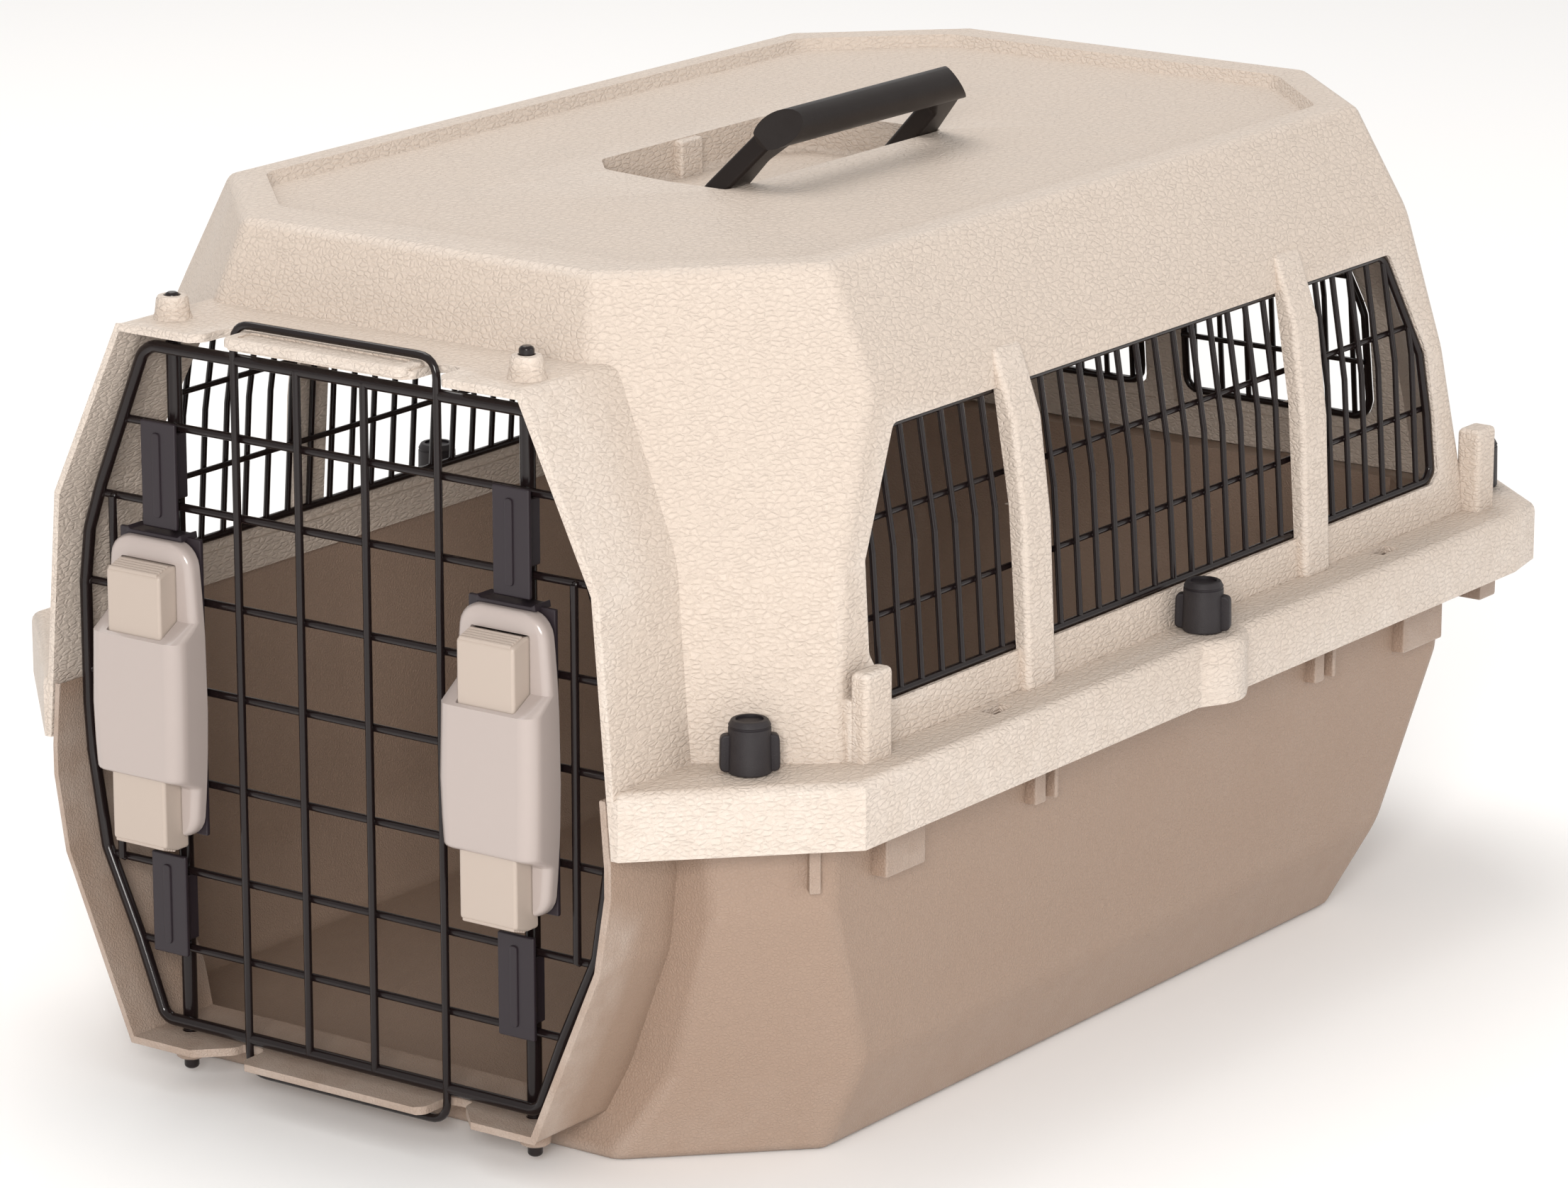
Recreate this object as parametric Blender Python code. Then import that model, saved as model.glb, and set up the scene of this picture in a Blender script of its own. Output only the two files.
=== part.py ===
"""Pet transport carrier: two plastic shells clamped together by wing nuts, a welded wire door with
four sprung latch rods, wire windows and a folding carrying handle.

Lengths and places are written in millimetres and the helpers turn them into metres. X runs across the
carrier, Z is up, and Y is the distance behind the rim of the doorway. An empty stands on that rim and
carries everything, so that the world origin is under the middle of the whole carrier.
"""

import math

import bmesh
import bpy
from mathutils import Vector

MM = 0.001
RIM_Y = -282.5
WALL = 3.0
GAP = 0.35

# Upper shell: octagonal levels as (height, front corner, side x, side front y, side rear y, rear corner).
UPPER_LEVELS = [
    (147.0, (127.0, 43.5), 170.5, 73.5, 506.0, (120.5, 556.0)),
    (217.5, (115.0, 38.5), 165.5, 82.0, 491.5, (109.0, 548.0)),
    (274.0, (86.0, 41.7), 156.0, 112.0, 478.0, (100.0, 534.0)),
    (314.3, (78.5, 56.1), 135.7, 115.7, 471.1, (80.9, 524.1)),
]
CEILING_Z = 306.5
PANEL_Z = 309.5
PANEL_EDGE = [(123, 122.6), (123, 460), (78, 505), (-78, 505), (-123, 460), (-123, 122.6), (-80, 79.6),
              (80, 79.6)]
ARCH_UPPER = [(-130.1, 125.9), (130.1, 125.9), (122.5, 218.4), (90.8, 284.7), (-90.8, 284.7),
              (-122.5, 218.4)]
ARCH_UPPER_DEPTH = 60.0
UPPER_TUNNEL_FOOT = [(-127.75, 118), (127.75, 118)]
LEDGE_TAB = (40.5, -2.0, 13.0, 283.0, 286.2)
ROD_BOSS = (6.4, 5.5, 283.0, 293.0)
LOOP_SLOT = (41.8, 52.8, 17.0)

# Lower shell levels, from its foot to its flange.
LOWER_LEVELS = [
    (0.0, (99.5, 36.5), 153.0, 89.5, 432.5, (99.5, 486.0)),
    (35.0, (120.6, 44.6), 168.0, 92.0, 447.0, (110.0, 505.0)),
    (97.0, (141.5, 39.5), 171.0, 69.5, 483.5, (113.5, 541.0)),
    (146.7, (141.0, 35.0), 173.0, 67.0, 487.5, (115.5, 545.0)),
]
ARCH_LOWER = [(-92.9, 15.7), (92.9, 15.7), (122.0, 83.5), (126.7, 112.0), (126.7, 123.0), (124.8, 146.7),
              (-124.8, 146.7), (-126.7, 123.0), (-126.7, 112.0), (-122.0, 83.5)]
ARCH_LOWER_DEPTH = 52.0
ARCH_LOWER_WALL = 2.5
TUNNEL_TOP_STEP = 2.6
SILL_Z = 18.7
SILL_BOSS = (5.5, 6.2, 8.5, 17.5)

# Flanges that the wing nuts clamp, and the skirt that hides the joint.
FLANGE_TOP = 150.0
FLANGE_JOINT = 147.0
LOWER_FLANGE_TOP = 146.65
LOWER_FLANGE_BOTTOM = 143.5
SKIRT_BOTTOM = 125.9
FLANGE_EDGE = [(130.1, 0), (190.5, 60.5), (190.5, 510), (186, 533), (153.3, 560.6), (135, 574.5),
               (-135, 574.5), (-153.3, 560.6), (-186, 533), (-190.5, 510), (-190.5, 60.5), (-130.1, 0)]
SKIRT_BOSS = (181.0, 291.5, 16.5)
DOORWAY_CUT = (130.6, 35.2)

# Blocks on the right flange, mirrored to the left: inner and outer side, front and rear, and top.
FLANGE_POSTS = [(171, 178.5, 78, 94.5, 182), (162, 172.5, 77.7, 92.0, 172), (166.9, 177.2, 502, 515.8, 183)]
SHELF_SLOTS = (173.6, 180.0, 12.5, [155.0, 424.0])
# Ribs and blocks under the flange: front and rear, how far out, and the lower end.
UNDER_FLANGE = [(92, 116, 177.5, 105), (188, 195, 176, 107), (198.6, 201, 177.5, 107.5),
                (382, 389, 176, 107), (392.6, 395, 177.5, 107.5), (448, 478, 176.5, 104)]
CORNER_FIN = [(163.4, 63.4), (167.9, 58.9), (170.9, 61.9), (166.4, 66.4)]
CORNER_FIN_BOTTOM = 106.0

# Wing nuts and bolts: name, distance from the middle, distance behind the rim, direction of the wings.
CLAMPS = [("front", 151.0, 47.5, 40.0), ("middle", 181.0, 291.5, 20.0), ("rear", 155.5, 540.5, 140.0)]
NUT_RADIUS = 7.75
NUT_HEIGHT = 19.0
WING_REACH = 10.4
WING_HEIGHT = 13.7
BOLT_HEAD_BOTTOM = 139.2
WING_HALF_THICKNESS = 2.2
NUT_CLEARANCE = 11.1
BOLT_RADIUS = 2.5
BOLT_HOLE = 2.85
BOLT_HEAD_RADIUS = 4.6
NUT_BORE_DEPTH = 11.0
NUT_MOUTH_RADIUS = 4.2
POCKET_BOTTOM = {"front": 128.0, "middle": 128.0, "rear": 104.0}
POCKET_HALVES = (6.2, 6.8)
POCKET_HOLLOW = 4.9

# Windows.
SIDE_WINDOW = [(106.4, 164.8), (479.5, 164.8), (484.3, 168.7), (483.1, 192), (479.3, 217), (460.3, 259.5),
               (122.3, 259.5), (95.3, 217), (94.6, 184)]
WINDOW_POSTS = [(186.5, 204.5), (377.3, 395.3)]
WINDOW_POST_PROFILE = [(145.0, 149.0), (174.0, 149.0), (171.2, 210.0), (166.3, 247.7), (156.8, 273.8),
                       (145.0, 273.8)]
REAR_WINDOW = [(10, 167), (93, 167), (98, 169.5), (100, 175), (99, 212), (90.5, 236), (78, 260), (10, 260)]
SIDE_GRILLE = [(97, 160.5), (482, 160.5), (489.5, 167), (488, 192), (484, 217), (464, 264), (119, 264),
               (91, 217), (90, 182)]
REAR_GRILLE = [(5.5, 162.5), (96, 162.5), (102, 166), (104.5, 175), (103.5, 213), (94.5, 238),
               (80.5, 264.5), (5.5, 264.5)]
SIDE_GRILLE_ROWS = [194.0, 228.0]
REAR_GRILLE_ROWS = [192.0, 228.0]
SIDE_GRILLE_FIRST = 91.5
REAR_GRILLE_FIRST = 3.0
GRILLE_FRAME = 4.0
GRILLE_HALF = 1.5
GRILLE_DEPTH = 5.0
GRILLE_WIRE = 2.6
SMALLEST_CELL = 12.0
GRILLE_PITCH = 12.7

# Door: the frame's outer edge, its wires and the loops that hook past the shells.
DOOR_FRONT = 10.0
DOOR_BACK = 14.0
FRAME_WIRE = 4.5
LATTICE_WIRE = 3.0
DOOR_EDGE = [(84.5, 277.3), (90.5, 273.5), (112, 222), (118.5, 204), (121.2, 183), (121.2, 138), (120, 120),
             (114.2, 84), (99.5, 52), (88.5, 24), (84, 21.5)]
DOOR_ROWS = [52.3, 81.8, 116.2, 150.5, 183.7, 217.2, 246.3]
DOOR_COLUMNS = [-45.5, -17.2, 13.0, 45.5]
SHORT_COLUMN = 104.0
LOOP_COLUMN = 45.5
LOOP_TOP = 290.0
LOOP_BOTTOM = 10.0

# Latches and rods, mirrored to both sides of the door. The left rods are the door's hinge.
LATCH_X = 79.3
ROD_Y = 17.8
ROD_RADIUS = 2.75
ROD_HOLE = 3.2
UPPER_ROD_TOP = {"left": 294.0, "right": 296.0}
LOWER_ROD_BOTTOM = 4.2
LATCH_MIDDLE = 146.5
SLIDER_TRAVEL = 17.0
SLIDER_HALF_WIDTH = 12.5
SLIDER_FRONT = -7.5
SLIDER_BACK = 5.6
SLIDER_NEAR = 21.5
SLIDER_FAR = 52.5
SLIDER_SLOPE = 2.3
ROD_FOOT = (22.9, 28.3)
FOOT_HALF_WIDTH = 2.7
SPRING_Y = -2.5
SPRING_RADIUS = 2.8
SPRING_SPAN = (4.1, 41.2)
COVER_HALF_WIDTH = 18.5
COVER_FRONT = -1.0
COVER_BACK = 7.5
COVER_SPAN = (98.0, 207.0)
BULGE_SECTION = [(-21.5, 0), (-21.5, -6), (-17, -9.5), (17, -9.5), (21.5, -6), (21.5, 0), (17, 4), (-17, 4)]
BULGE_SPAN = (120.0, 173.0)
CHANNELS = [(150.2, 199.5), (90.0, 142.8)]
PLATE_BACK = 9.65
PLATE_SPAN = (99.0, 209.0)
PLATE_SLOTS = [(151.5, 177.0), (117.0, 142.0)]
GUIDE_HALF_WIDTH = 8.0
GUIDE_CHEEK_HALF = 4.7
GUIDE_INNER_HALF = 3.5
GUIDE_BACK = 22.2
# Rod guides: name, height of the face, height of the cheeks behind the wires.
ROD_GUIDES = [("upper", 209.6, 248.6, 219.8, 243.8), ("lower", 50.5, 88.4, 55.0, 79.4)]

# Handle: its hinge line, how far it leans at rest, and its size along the arm.
HANDLE_AXIS = (7.0, 302.0)
HANDLE_LEAN = 48.0
HANDLE_MIDDLE_Y = 285.0
HANDLE_OUTLINE = [(-4, 69.9), (8, 69.9), (40, 62.2), (46.3, 55)]
HANDLE_INNER = [(33, 52.5), (-4, 52.5)]
GRIP_U = 40.0
GRIP_RADIUS = 6.3
ARM_HALF_THICKNESS = 4.0
RECESS_FLOOR = 295.0
RECESS_EDGE = [(-52.3, 52), (-40, 66), (-8, 70.4), (19.6, 70.4)]
RECESS_RIB = (-54, -48.6, 279, 293, 309)
HINGE_BLOCK = (-1, 15, 72, 78)
PIN_RADIUS = 2.0

CREAM = (0.78, 0.68, 0.57)
TAUPE = (0.36, 0.29, 0.23)
COVER_GREY = (0.60, 0.54, 0.49)
SLIDER_BEIGE = (0.63, 0.53, 0.46)
BLACK_WIRE = (0.02, 0.013, 0.012)
BLACK_PLASTIC = (0.03, 0.026, 0.028)
STEEL = (0.45, 0.45, 0.46)


# ---------------------------------------------------------------- helpers


def clear_scene():
    for old in list(bpy.data.objects):
        bpy.data.objects.remove(old, do_unlink=True)


def finish_material(name, colour, roughness, metallic=0.0):
    material = bpy.data.materials.get(name)
    if material is None:
        material = bpy.data.materials.new(name)
        material.use_nodes = True
        shader = material.node_tree.nodes["Principled BSDF"]
        shader.inputs["Base Color"].default_value = (*colour, 1.0)
        shader.inputs["Roughness"].default_value = roughness
        shader.inputs["Metallic"].default_value = metallic
    return material


def add_empty(name, place, parent=None):
    empty = bpy.data.objects.new(name, None)
    empty.location = Vector(place) * MM
    empty.parent = parent
    bpy.context.scene.collection.objects.link(empty)
    return empty


def face_outward(mesh):
    """Makes every face of one closed body point out of it."""
    bmesh.ops.recalc_face_normals(mesh, faces=mesh.faces)
    if mesh.calc_volume(signed=True) < 0:
        bmesh.ops.reverse_faces(mesh, faces=mesh.faces)


def loft(rings):
    """A closed solid through rings of points, its walls split the same way on the left and the right."""
    mesh = bmesh.new()
    rows = [[mesh.verts.new(point) for point in ring] for ring in rings]
    count = len(rings[0])
    for low, high in zip(rows, rows[1:]):
        for i in range(count):
            j = (i + 1) % count
            if 2 * i < count:
                mesh.faces.new((low[i], low[j], high[j]))
                mesh.faces.new((low[i], high[j], high[i]))
            else:
                mesh.faces.new((low[i], low[j], high[i]))
                mesh.faces.new((low[j], high[j], high[i]))
    mesh.faces.new(reversed(rows[0]))
    mesh.faces.new(rows[-1])
    face_outward(mesh)
    return mesh


def on_axis(axis, along, a, b):
    """The point at (a, b) on the plane across an axis, at a distance along it."""
    if axis == "X":
        return (along, a, b)
    if axis == "Y":
        return (a, along, b)
    return (a, b, along)


def prism(outline, low, high, axis="Z"):
    mesh = bmesh.new()
    rows = [[mesh.verts.new(on_axis(axis, along, a, b)) for a, b in outline] for along in (low, high)]
    for i in range(len(outline)):
        j = (i + 1) % len(outline)
        mesh.faces.new((rows[0][i], rows[0][j], rows[1][j], rows[1][i]))
    mesh.faces.new(reversed(rows[0]))
    mesh.faces.new(rows[1])
    face_outward(mesh)
    return mesh


def box(x0, x1, y0, y1, z0, z1):
    return prism([(x0, y0), (x1, y0), (x1, y1), (x0, y1)], z0, z1)


def circle(a, b, radius, sides=16):
    turns = [math.tau * (i + 0.5) / sides for i in range(sides)]
    return [(a + radius * math.cos(turn), b + radius * math.sin(turn)) for turn in turns]


def cone(x, y, low_radius, high_radius, low, high, sides=16):
    rings = []
    for radius, z in ((low_radius, low), (high_radius, high)):
        rings.append([(a, b, z) for a, b in circle(x, y, radius, sides)])
    return loft(rings)


def level_ring(levels, z):
    """The eight corners of a shell at a height, counter-clockwise from the front right one."""
    for low, high in zip(levels, levels[1:]):
        if z <= high[0] or high is levels[-1]:
            break
    t = (z - low[0]) / (high[0] - low[0])

    def between(a, b):
        return a + (b - a) * t

    front = (between(low[1][0], high[1][0]), between(low[1][1], high[1][1]))
    side_x, side_front, side_rear = (between(low[i], high[i]) for i in (2, 3, 4))
    rear = (between(low[5][0], high[5][0]), between(low[5][1], high[5][1]))
    right = [front, (side_x, side_front), (side_x, side_rear), rear]
    return right + [(-x, y) for x, y in reversed(right)]


def inset(outline, distance):
    """A convex or gently bent counter-clockwise outline moved inwards by a distance."""
    moved = []
    count = len(outline)
    for i in range(count):
        before, here, after = (Vector(outline[(i + k) % count]) for k in (-1, 0, 1))
        first = (here - before).normalized()
        second = (after - here).normalized()
        inward = Vector((-first.y, first.x)) + Vector((-second.y, second.x))
        inward /= 1 + first.dot(second)
        moved.append(tuple(here + inward * distance))
    return moved


def shell_solid(levels, heights, distance=0.0):
    rings = []
    for z in heights:
        outline = inset(level_ring(levels, z), distance) if distance else level_ring(levels, z)
        rings.append([(x, y, z) for x, y in outline])
    return loft(rings)


def clip(cell, fence):
    """The part of a convex cell inside a convex counter-clockwise fence."""
    for i in range(len(fence)):
        a, b = Vector(fence[i]), Vector(fence[(i + 1) % len(fence)])
        normal = Vector((a.y - b.y, b.x - a.x))
        kept = []
        for k in range(len(cell)):
            p, q = Vector(cell[k]), Vector(cell[(k + 1) % len(cell)])
            dp, dq = normal.dot(p - a), normal.dot(q - a)
            if dp >= 0:
                kept.append(tuple(p))
            if dp * dq < 0:
                kept.append(tuple(p + (q - p) * (dp / (dp - dq))))
        cell = kept
    return cell


def area(outline):
    total = 0.0
    for (x0, y0), (x1, y1) in zip(outline, outline[1:] + outline[:1]):
        total += x0 * y1 - x1 * y0
    return total / 2


def wire_cells(columns, rows, wire, fence):
    """The openings between crossing wires, cut off by the frame."""
    cells = []
    for z0, z1 in zip(rows, rows[1:]):
        for a0, a1 in zip(columns, columns[1:]):
            half = wire / 2
            corners = [(a0 + half, z0 + half), (a1 - half, z0 + half), (a1 - half, z1 - half),
                       (a0 + half, z1 - half)]
            cell = clip(corners, fence)
            if len(cell) > 2 and area(cell) > SMALLEST_CELL:
                cells.append(cell)
    return cells


def perforated_plate(outline, holes, low, high, axis):
    """A flat plate with many openings, as one closed solid."""
    mesh = bmesh.new()
    edges = []
    for loop in [outline] + holes:
        corners = [mesh.verts.new(on_axis(axis, low, a, b)) for a, b in loop]
        for i, corner in enumerate(corners):
            edges.append(mesh.edges.new((corner, corners[(i + 1) % len(corners)])))
    bmesh.ops.triangle_fill(mesh, use_beauty=True, edges=edges)
    front = list(mesh.faces)
    thick = bmesh.ops.extrude_face_region(mesh, geom=front, use_keep_orig=True)
    moved = [item for item in thick["geom"] if isinstance(item, bmesh.types.BMVert)]
    bmesh.ops.translate(mesh, verts=moved, vec=on_axis(axis, high - low, 0, 0))
    face_outward(mesh)
    return mesh


class Body:
    """A named object, with the solids that are joined to it and cut from it, in order."""

    def __init__(self, name, mesh, material, parent, origin=(0, 0, 0)):
        self.origin = Vector(origin)
        self.steps = 0
        self.thing = self.new_object(name, mesh, parent)
        self.thing.data.materials.append(material)

    def new_object(self, name, mesh, parent):
        bmesh.ops.translate(mesh, verts=mesh.verts, vec=-self.origin)
        bmesh.ops.scale(mesh, verts=mesh.verts, vec=(MM, MM, MM))
        data = bpy.data.meshes.new(name)
        mesh.to_mesh(data)
        mesh.free()
        thing = bpy.data.objects.new(name, data)
        thing.parent = parent
        start = Vector((0, 0, 0)) if parent is rim else parent.location / MM
        thing.location = (self.origin - start) * MM
        bpy.context.scene.collection.objects.link(thing)
        return thing

    def change(self, operation, meshes):
        for mesh in meshes:
            self.steps += 1
            name = f"{self.thing.name}_{operation.lower()}_{self.steps}"
            helper = self.new_object(name, mesh, self.thing.parent)
            helper.rotation_euler = self.thing.rotation_euler
            helper.hide_render = True
            helper.display_type = "WIRE"
            modifier = self.thing.modifiers.new(helper.name, "BOOLEAN")
            modifier.operation = operation
            modifier.object = helper
        return self

    def join(self, *meshes):
        return self.change("UNION", meshes)

    def cut(self, *meshes):
        return self.change("DIFFERENCE", meshes)

    def shade_round(self):
        self.thing.data.shade_smooth()
        self.thing.data.set_sharp_from_angle(angle=math.radians(35))


# ---------------------------------------------------------------- shells


def recess_outline(distance=0.0):
    near = [(x, HANDLE_MIDDLE_Y - half) for x, half in RECESS_EDGE]
    far = [(x, HANDLE_MIDDLE_Y + half) for x, half in reversed(RECESS_EDGE)]
    return inset(near + far, distance)


def clamp_places():
    for name, x, y, turn in CLAMPS:
        for side, sign in (("left", -1), ("right", 1)):
            yield name, side, sign * x, y, turn if sign > 0 else 180 - turn


def make_upper_shell():
    cream = finish_material("cream_plastic", CREAM, 0.5)
    heights = [level[0] for level in UPPER_LEVELS]
    shell = Body("upper_shell", prism(FLANGE_EDGE, SKIRT_BOTTOM, FLANGE_TOP), cream, rim)
    boss_x, boss_y, boss_radius = SKIRT_BOSS
    hollow_radius = boss_radius - WALL
    shell.join(*[cone(side * boss_x, boss_y, boss_radius, boss_radius, SKIRT_BOTTOM, FLANGE_TOP, 24)
                 for side in (-1, 1)])
    shell.cut(prism(inset(FLANGE_EDGE, WALL), SKIRT_BOTTOM - 5, FLANGE_JOINT))
    shell.cut(*[cone(side * boss_x, boss_y, hollow_radius, hollow_radius, SKIRT_BOTTOM - 5, FLANGE_JOINT, 24)
                for side in (-1, 1)])
    shell.join(prism(ARCH_UPPER, 0, ARCH_UPPER_DEPTH, "Y"), shell_solid(UPPER_LEVELS, heights))
    for side in (-1, 1):
        shell.cut(prism(SIDE_WINDOW, side * 100, side * 195, "X"))
        profile = [(side * x, z) for x, z in WINDOW_POST_PROFILE]
        shell.join(*[prism(profile, y0, y1, "Y") for y0, y1 in WINDOW_POSTS])
        for x0, x1, y0, y1, top in FLANGE_POSTS:
            shell.join(box(*sorted((side * x0, side * x1)), y0, y1, FLANGE_TOP - 1.5, top))

    shell.cut(shell_solid(UPPER_LEVELS, [140, 217.5, 274, CEILING_Z], WALL))
    tunnel = UPPER_TUNNEL_FOOT + inset(ARCH_UPPER, WALL)[2:]
    shell.cut(prism(tunnel, -5, ARCH_UPPER_DEPTH + 2, "Y"))
    shell.cut(box(-135, 135, 34.5, 66, 120, FLANGE_JOINT))
    make_door_seats(shell)
    for side in (-1, 1):
        shell.cut(prism([(side * x, z) for x, z in REAR_WINDOW], 500, 570, "Y"))
        x0, x1, length, places = SHELF_SLOTS
        for y in places:
            shell.cut(box(*sorted((side * x0, side * x1)), y, y + length, FLANGE_JOINT - 2, FLANGE_TOP + 2))
    make_handle_recess(shell)
    for name, _, x, y, _ in clamp_places():
        shell.cut(cone(x, y, BOLT_HOLE, BOLT_HOLE, FLANGE_JOINT - 2, FLANGE_TOP + 3, 12))
        if name != "rear":
            shell.cut(cone(x, y, NUT_CLEARANCE, NUT_CLEARANCE, FLANGE_TOP + 0.1, 175, 24))


def make_door_seats(shell):
    """Bosses for the rods, slots for the door's loop, and the tab on the ledge over the doorway."""
    low_radius, high_radius, low, high = ROD_BOSS
    slot_near, slot_far, slot_depth = LOOP_SLOT
    for side in (-1, 1):
        shell.join(cone(side * LATCH_X, ROD_Y, low_radius, high_radius, low, high))
        shell.cut(cone(side * LATCH_X, ROD_Y, ROD_HOLE, ROD_HOLE, low - 3, high + 3))
        shell.cut(box(*sorted((side * slot_near, side * slot_far)), -5, slot_depth, low - 5, low + 7))
    half, front, back, low, high = LEDGE_TAB
    shell.join(box(-half, half, front, back, low, high))


def make_handle_recess(shell):
    floor_bottom = RECESS_FLOOR - WALL
    roof = CEILING_Z + 1.5
    x0, x1, near, far = HINGE_BLOCK
    shell.join(prism(recess_outline(-WALL), floor_bottom, roof))
    for side in (-1, 1):
        ends = sorted((HANDLE_MIDDLE_Y + side * near, HANDLE_MIDDLE_Y + side * far))
        shell.join(box(x0, x1, *ends, floor_bottom, roof))
    shell.cut(prism(PANEL_EDGE, PANEL_Z, 320), prism(recess_outline(), RECESS_FLOOR, 320))
    x0, x1, y0, y1, top = RECESS_RIB
    shell.join(box(x0, x1, y0, y1, RECESS_FLOOR - 1, top))
    for side in (-1, 1):
        ends = sorted((HANDLE_MIDDLE_Y + side * (near - 3), HANDLE_MIDDLE_Y + side * (far - 1.5)))
        shell.cut(prism(circle(*HANDLE_AXIS, PIN_RADIUS + 0.3, 12), *ends, "Y"))


def make_lower_shell():
    taupe = finish_material("taupe_plastic", TAUPE, 0.5)
    heights = [level[0] for level in LOWER_LEVELS[:-1]] + [LOWER_FLANGE_TOP]
    flange = inset(FLANGE_EDGE, WALL + GAP)
    shell = Body("lower_shell", prism(flange, LOWER_FLANGE_BOTTOM, LOWER_FLANGE_TOP), taupe, rim)
    boss_x, boss_y, boss_radius = SKIRT_BOSS
    boss_radius -= WALL + GAP
    for side in (-1, 1):
        shell.join(cone(side * boss_x, boss_y, boss_radius, boss_radius, LOWER_FLANGE_BOTTOM, LOWER_FLANGE_TOP,
                        24))
    half, depth = DOORWAY_CUT
    shell.cut(box(-half, half, -5, depth, LOWER_FLANGE_BOTTOM - 3, FLANGE_TOP))
    shell.join(prism(ARCH_LOWER, 0, ARCH_LOWER_DEPTH, "Y"), shell_solid(LOWER_LEVELS, heights))
    for name, _, x, y, _ in clamp_places():
        rings = []
        for a, z in zip(POCKET_HALVES, (POCKET_BOTTOM[name], LOWER_FLANGE_BOTTOM + 1.5)):
            rings.append([(x - a, y - a, z), (x + a, y - a, z), (x + a, y + a, z), (x - a, y + a, z)])
        shell.join(loft(rings))
    low_radius, high_radius, low, high = SILL_BOSS
    for side in (-1, 1):
        for y0, y1, reach, bottom in UNDER_FLANGE:
            shell.join(box(*sorted((side * 165, side * reach)), y0, y1, bottom, LOWER_FLANGE_BOTTOM + 1.5))
        fin = [(side * x, y) for x, y in CORNER_FIN]
        shell.join(prism(fin, CORNER_FIN_BOTTOM, LOWER_FLANGE_BOTTOM + 1.5))
        shell.join(cone(side * LATCH_X, ROD_Y, low_radius, high_radius, low, high))
    shell.cut(shell_solid(LOWER_LEVELS, [WALL, 35, 97, 150], WALL))
    tunnel = inset(ARCH_LOWER, ARCH_LOWER_WALL)
    tunnel[5] = (tunnel[4][0] - TUNNEL_TOP_STEP, 155)
    tunnel[6] = (-tunnel[5][0], 155)
    shell.cut(prism([(x, max(z, SILL_Z)) for x, z in tunnel], -5, ARCH_LOWER_DEPTH + 2, "Y"))
    slot_near, slot_far, slot_depth = LOOP_SLOT
    for side in (-1, 1):
        shell.cut(cone(side * LATCH_X, ROD_Y, ROD_HOLE, ROD_HOLE, low - 3.5, high + 4.5))
        shell.cut(box(*sorted((side * slot_near, side * slot_far)), -5, slot_depth, 12, 22))
    for name, _, x, y, _ in clamp_places():
        a = POCKET_HOLLOW
        shell.cut(box(x - a, x + a, y - a, y + a, POCKET_BOTTOM[name] - 3, LOWER_FLANGE_BOTTOM))
        shell.cut(cone(x, y, BOLT_HOLE, BOLT_HOLE, LOWER_FLANGE_BOTTOM - 3, FLANGE_TOP, 12))


# ---------------------------------------------------------------- windows


def lean_grille(mesh, sign, low, high, rear):
    """Lays a flat grille against the inside of the wall that it covers, which leans inwards."""
    places = []
    for z in (low, high):
        ring = inset(level_ring(UPPER_LEVELS, z), GRILLE_DEPTH)
        places.append(ring[3][1] if rear else ring[1][0])
    for vertex in mesh.verts:
        t = (vertex.co.z - low) / (high - low)
        place = places[0] + (places[1] - places[0]) * t
        if rear:
            vertex.co.y += place
        else:
            vertex.co.x = sign * (place + vertex.co.x)
    face_outward(mesh)


def grille_holes(edge, first, rows):
    reach = max(a for a, _ in edge) - first
    columns = [first + GRILLE_PITCH * i for i in range(int(reach / GRILLE_PITCH) + 2)]
    heights = [z for _, z in edge]
    levels = [min(heights) - 5, *rows, max(heights) + 5]
    return wire_cells(columns, levels, GRILLE_WIRE, inset(edge, GRILLE_FRAME))


def make_grilles():
    black = finish_material("black_wire", BLACK_WIRE, 0.3)
    for side, sign in (("left", -1), ("right", 1)):
        holes = grille_holes(SIDE_GRILLE, SIDE_GRILLE_FIRST, SIDE_GRILLE_ROWS)
        mesh = perforated_plate(SIDE_GRILLE, holes, -GRILLE_HALF, GRILLE_HALF, "X")
        heights = [z for _, z in SIDE_GRILLE]
        lean_grille(mesh, sign, min(heights), max(heights), rear=False)
        Body(f"side_grille_{side}", mesh, black, rim)

        holes = grille_holes(REAR_GRILLE, REAR_GRILLE_FIRST, REAR_GRILLE_ROWS)
        edge = [(sign * x, z) for x, z in REAR_GRILLE]
        holes = [[(sign * x, z) for x, z in hole] for hole in holes]
        mesh = perforated_plate(edge, holes, -GRILLE_HALF, GRILLE_HALF, "Y")
        heights = [z for _, z in REAR_GRILLE]
        lean_grille(mesh, sign, min(heights), max(heights), rear=True)
        Body(f"rear_grille_{side}", mesh, black, rim)


# ---------------------------------------------------------------- door


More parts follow.
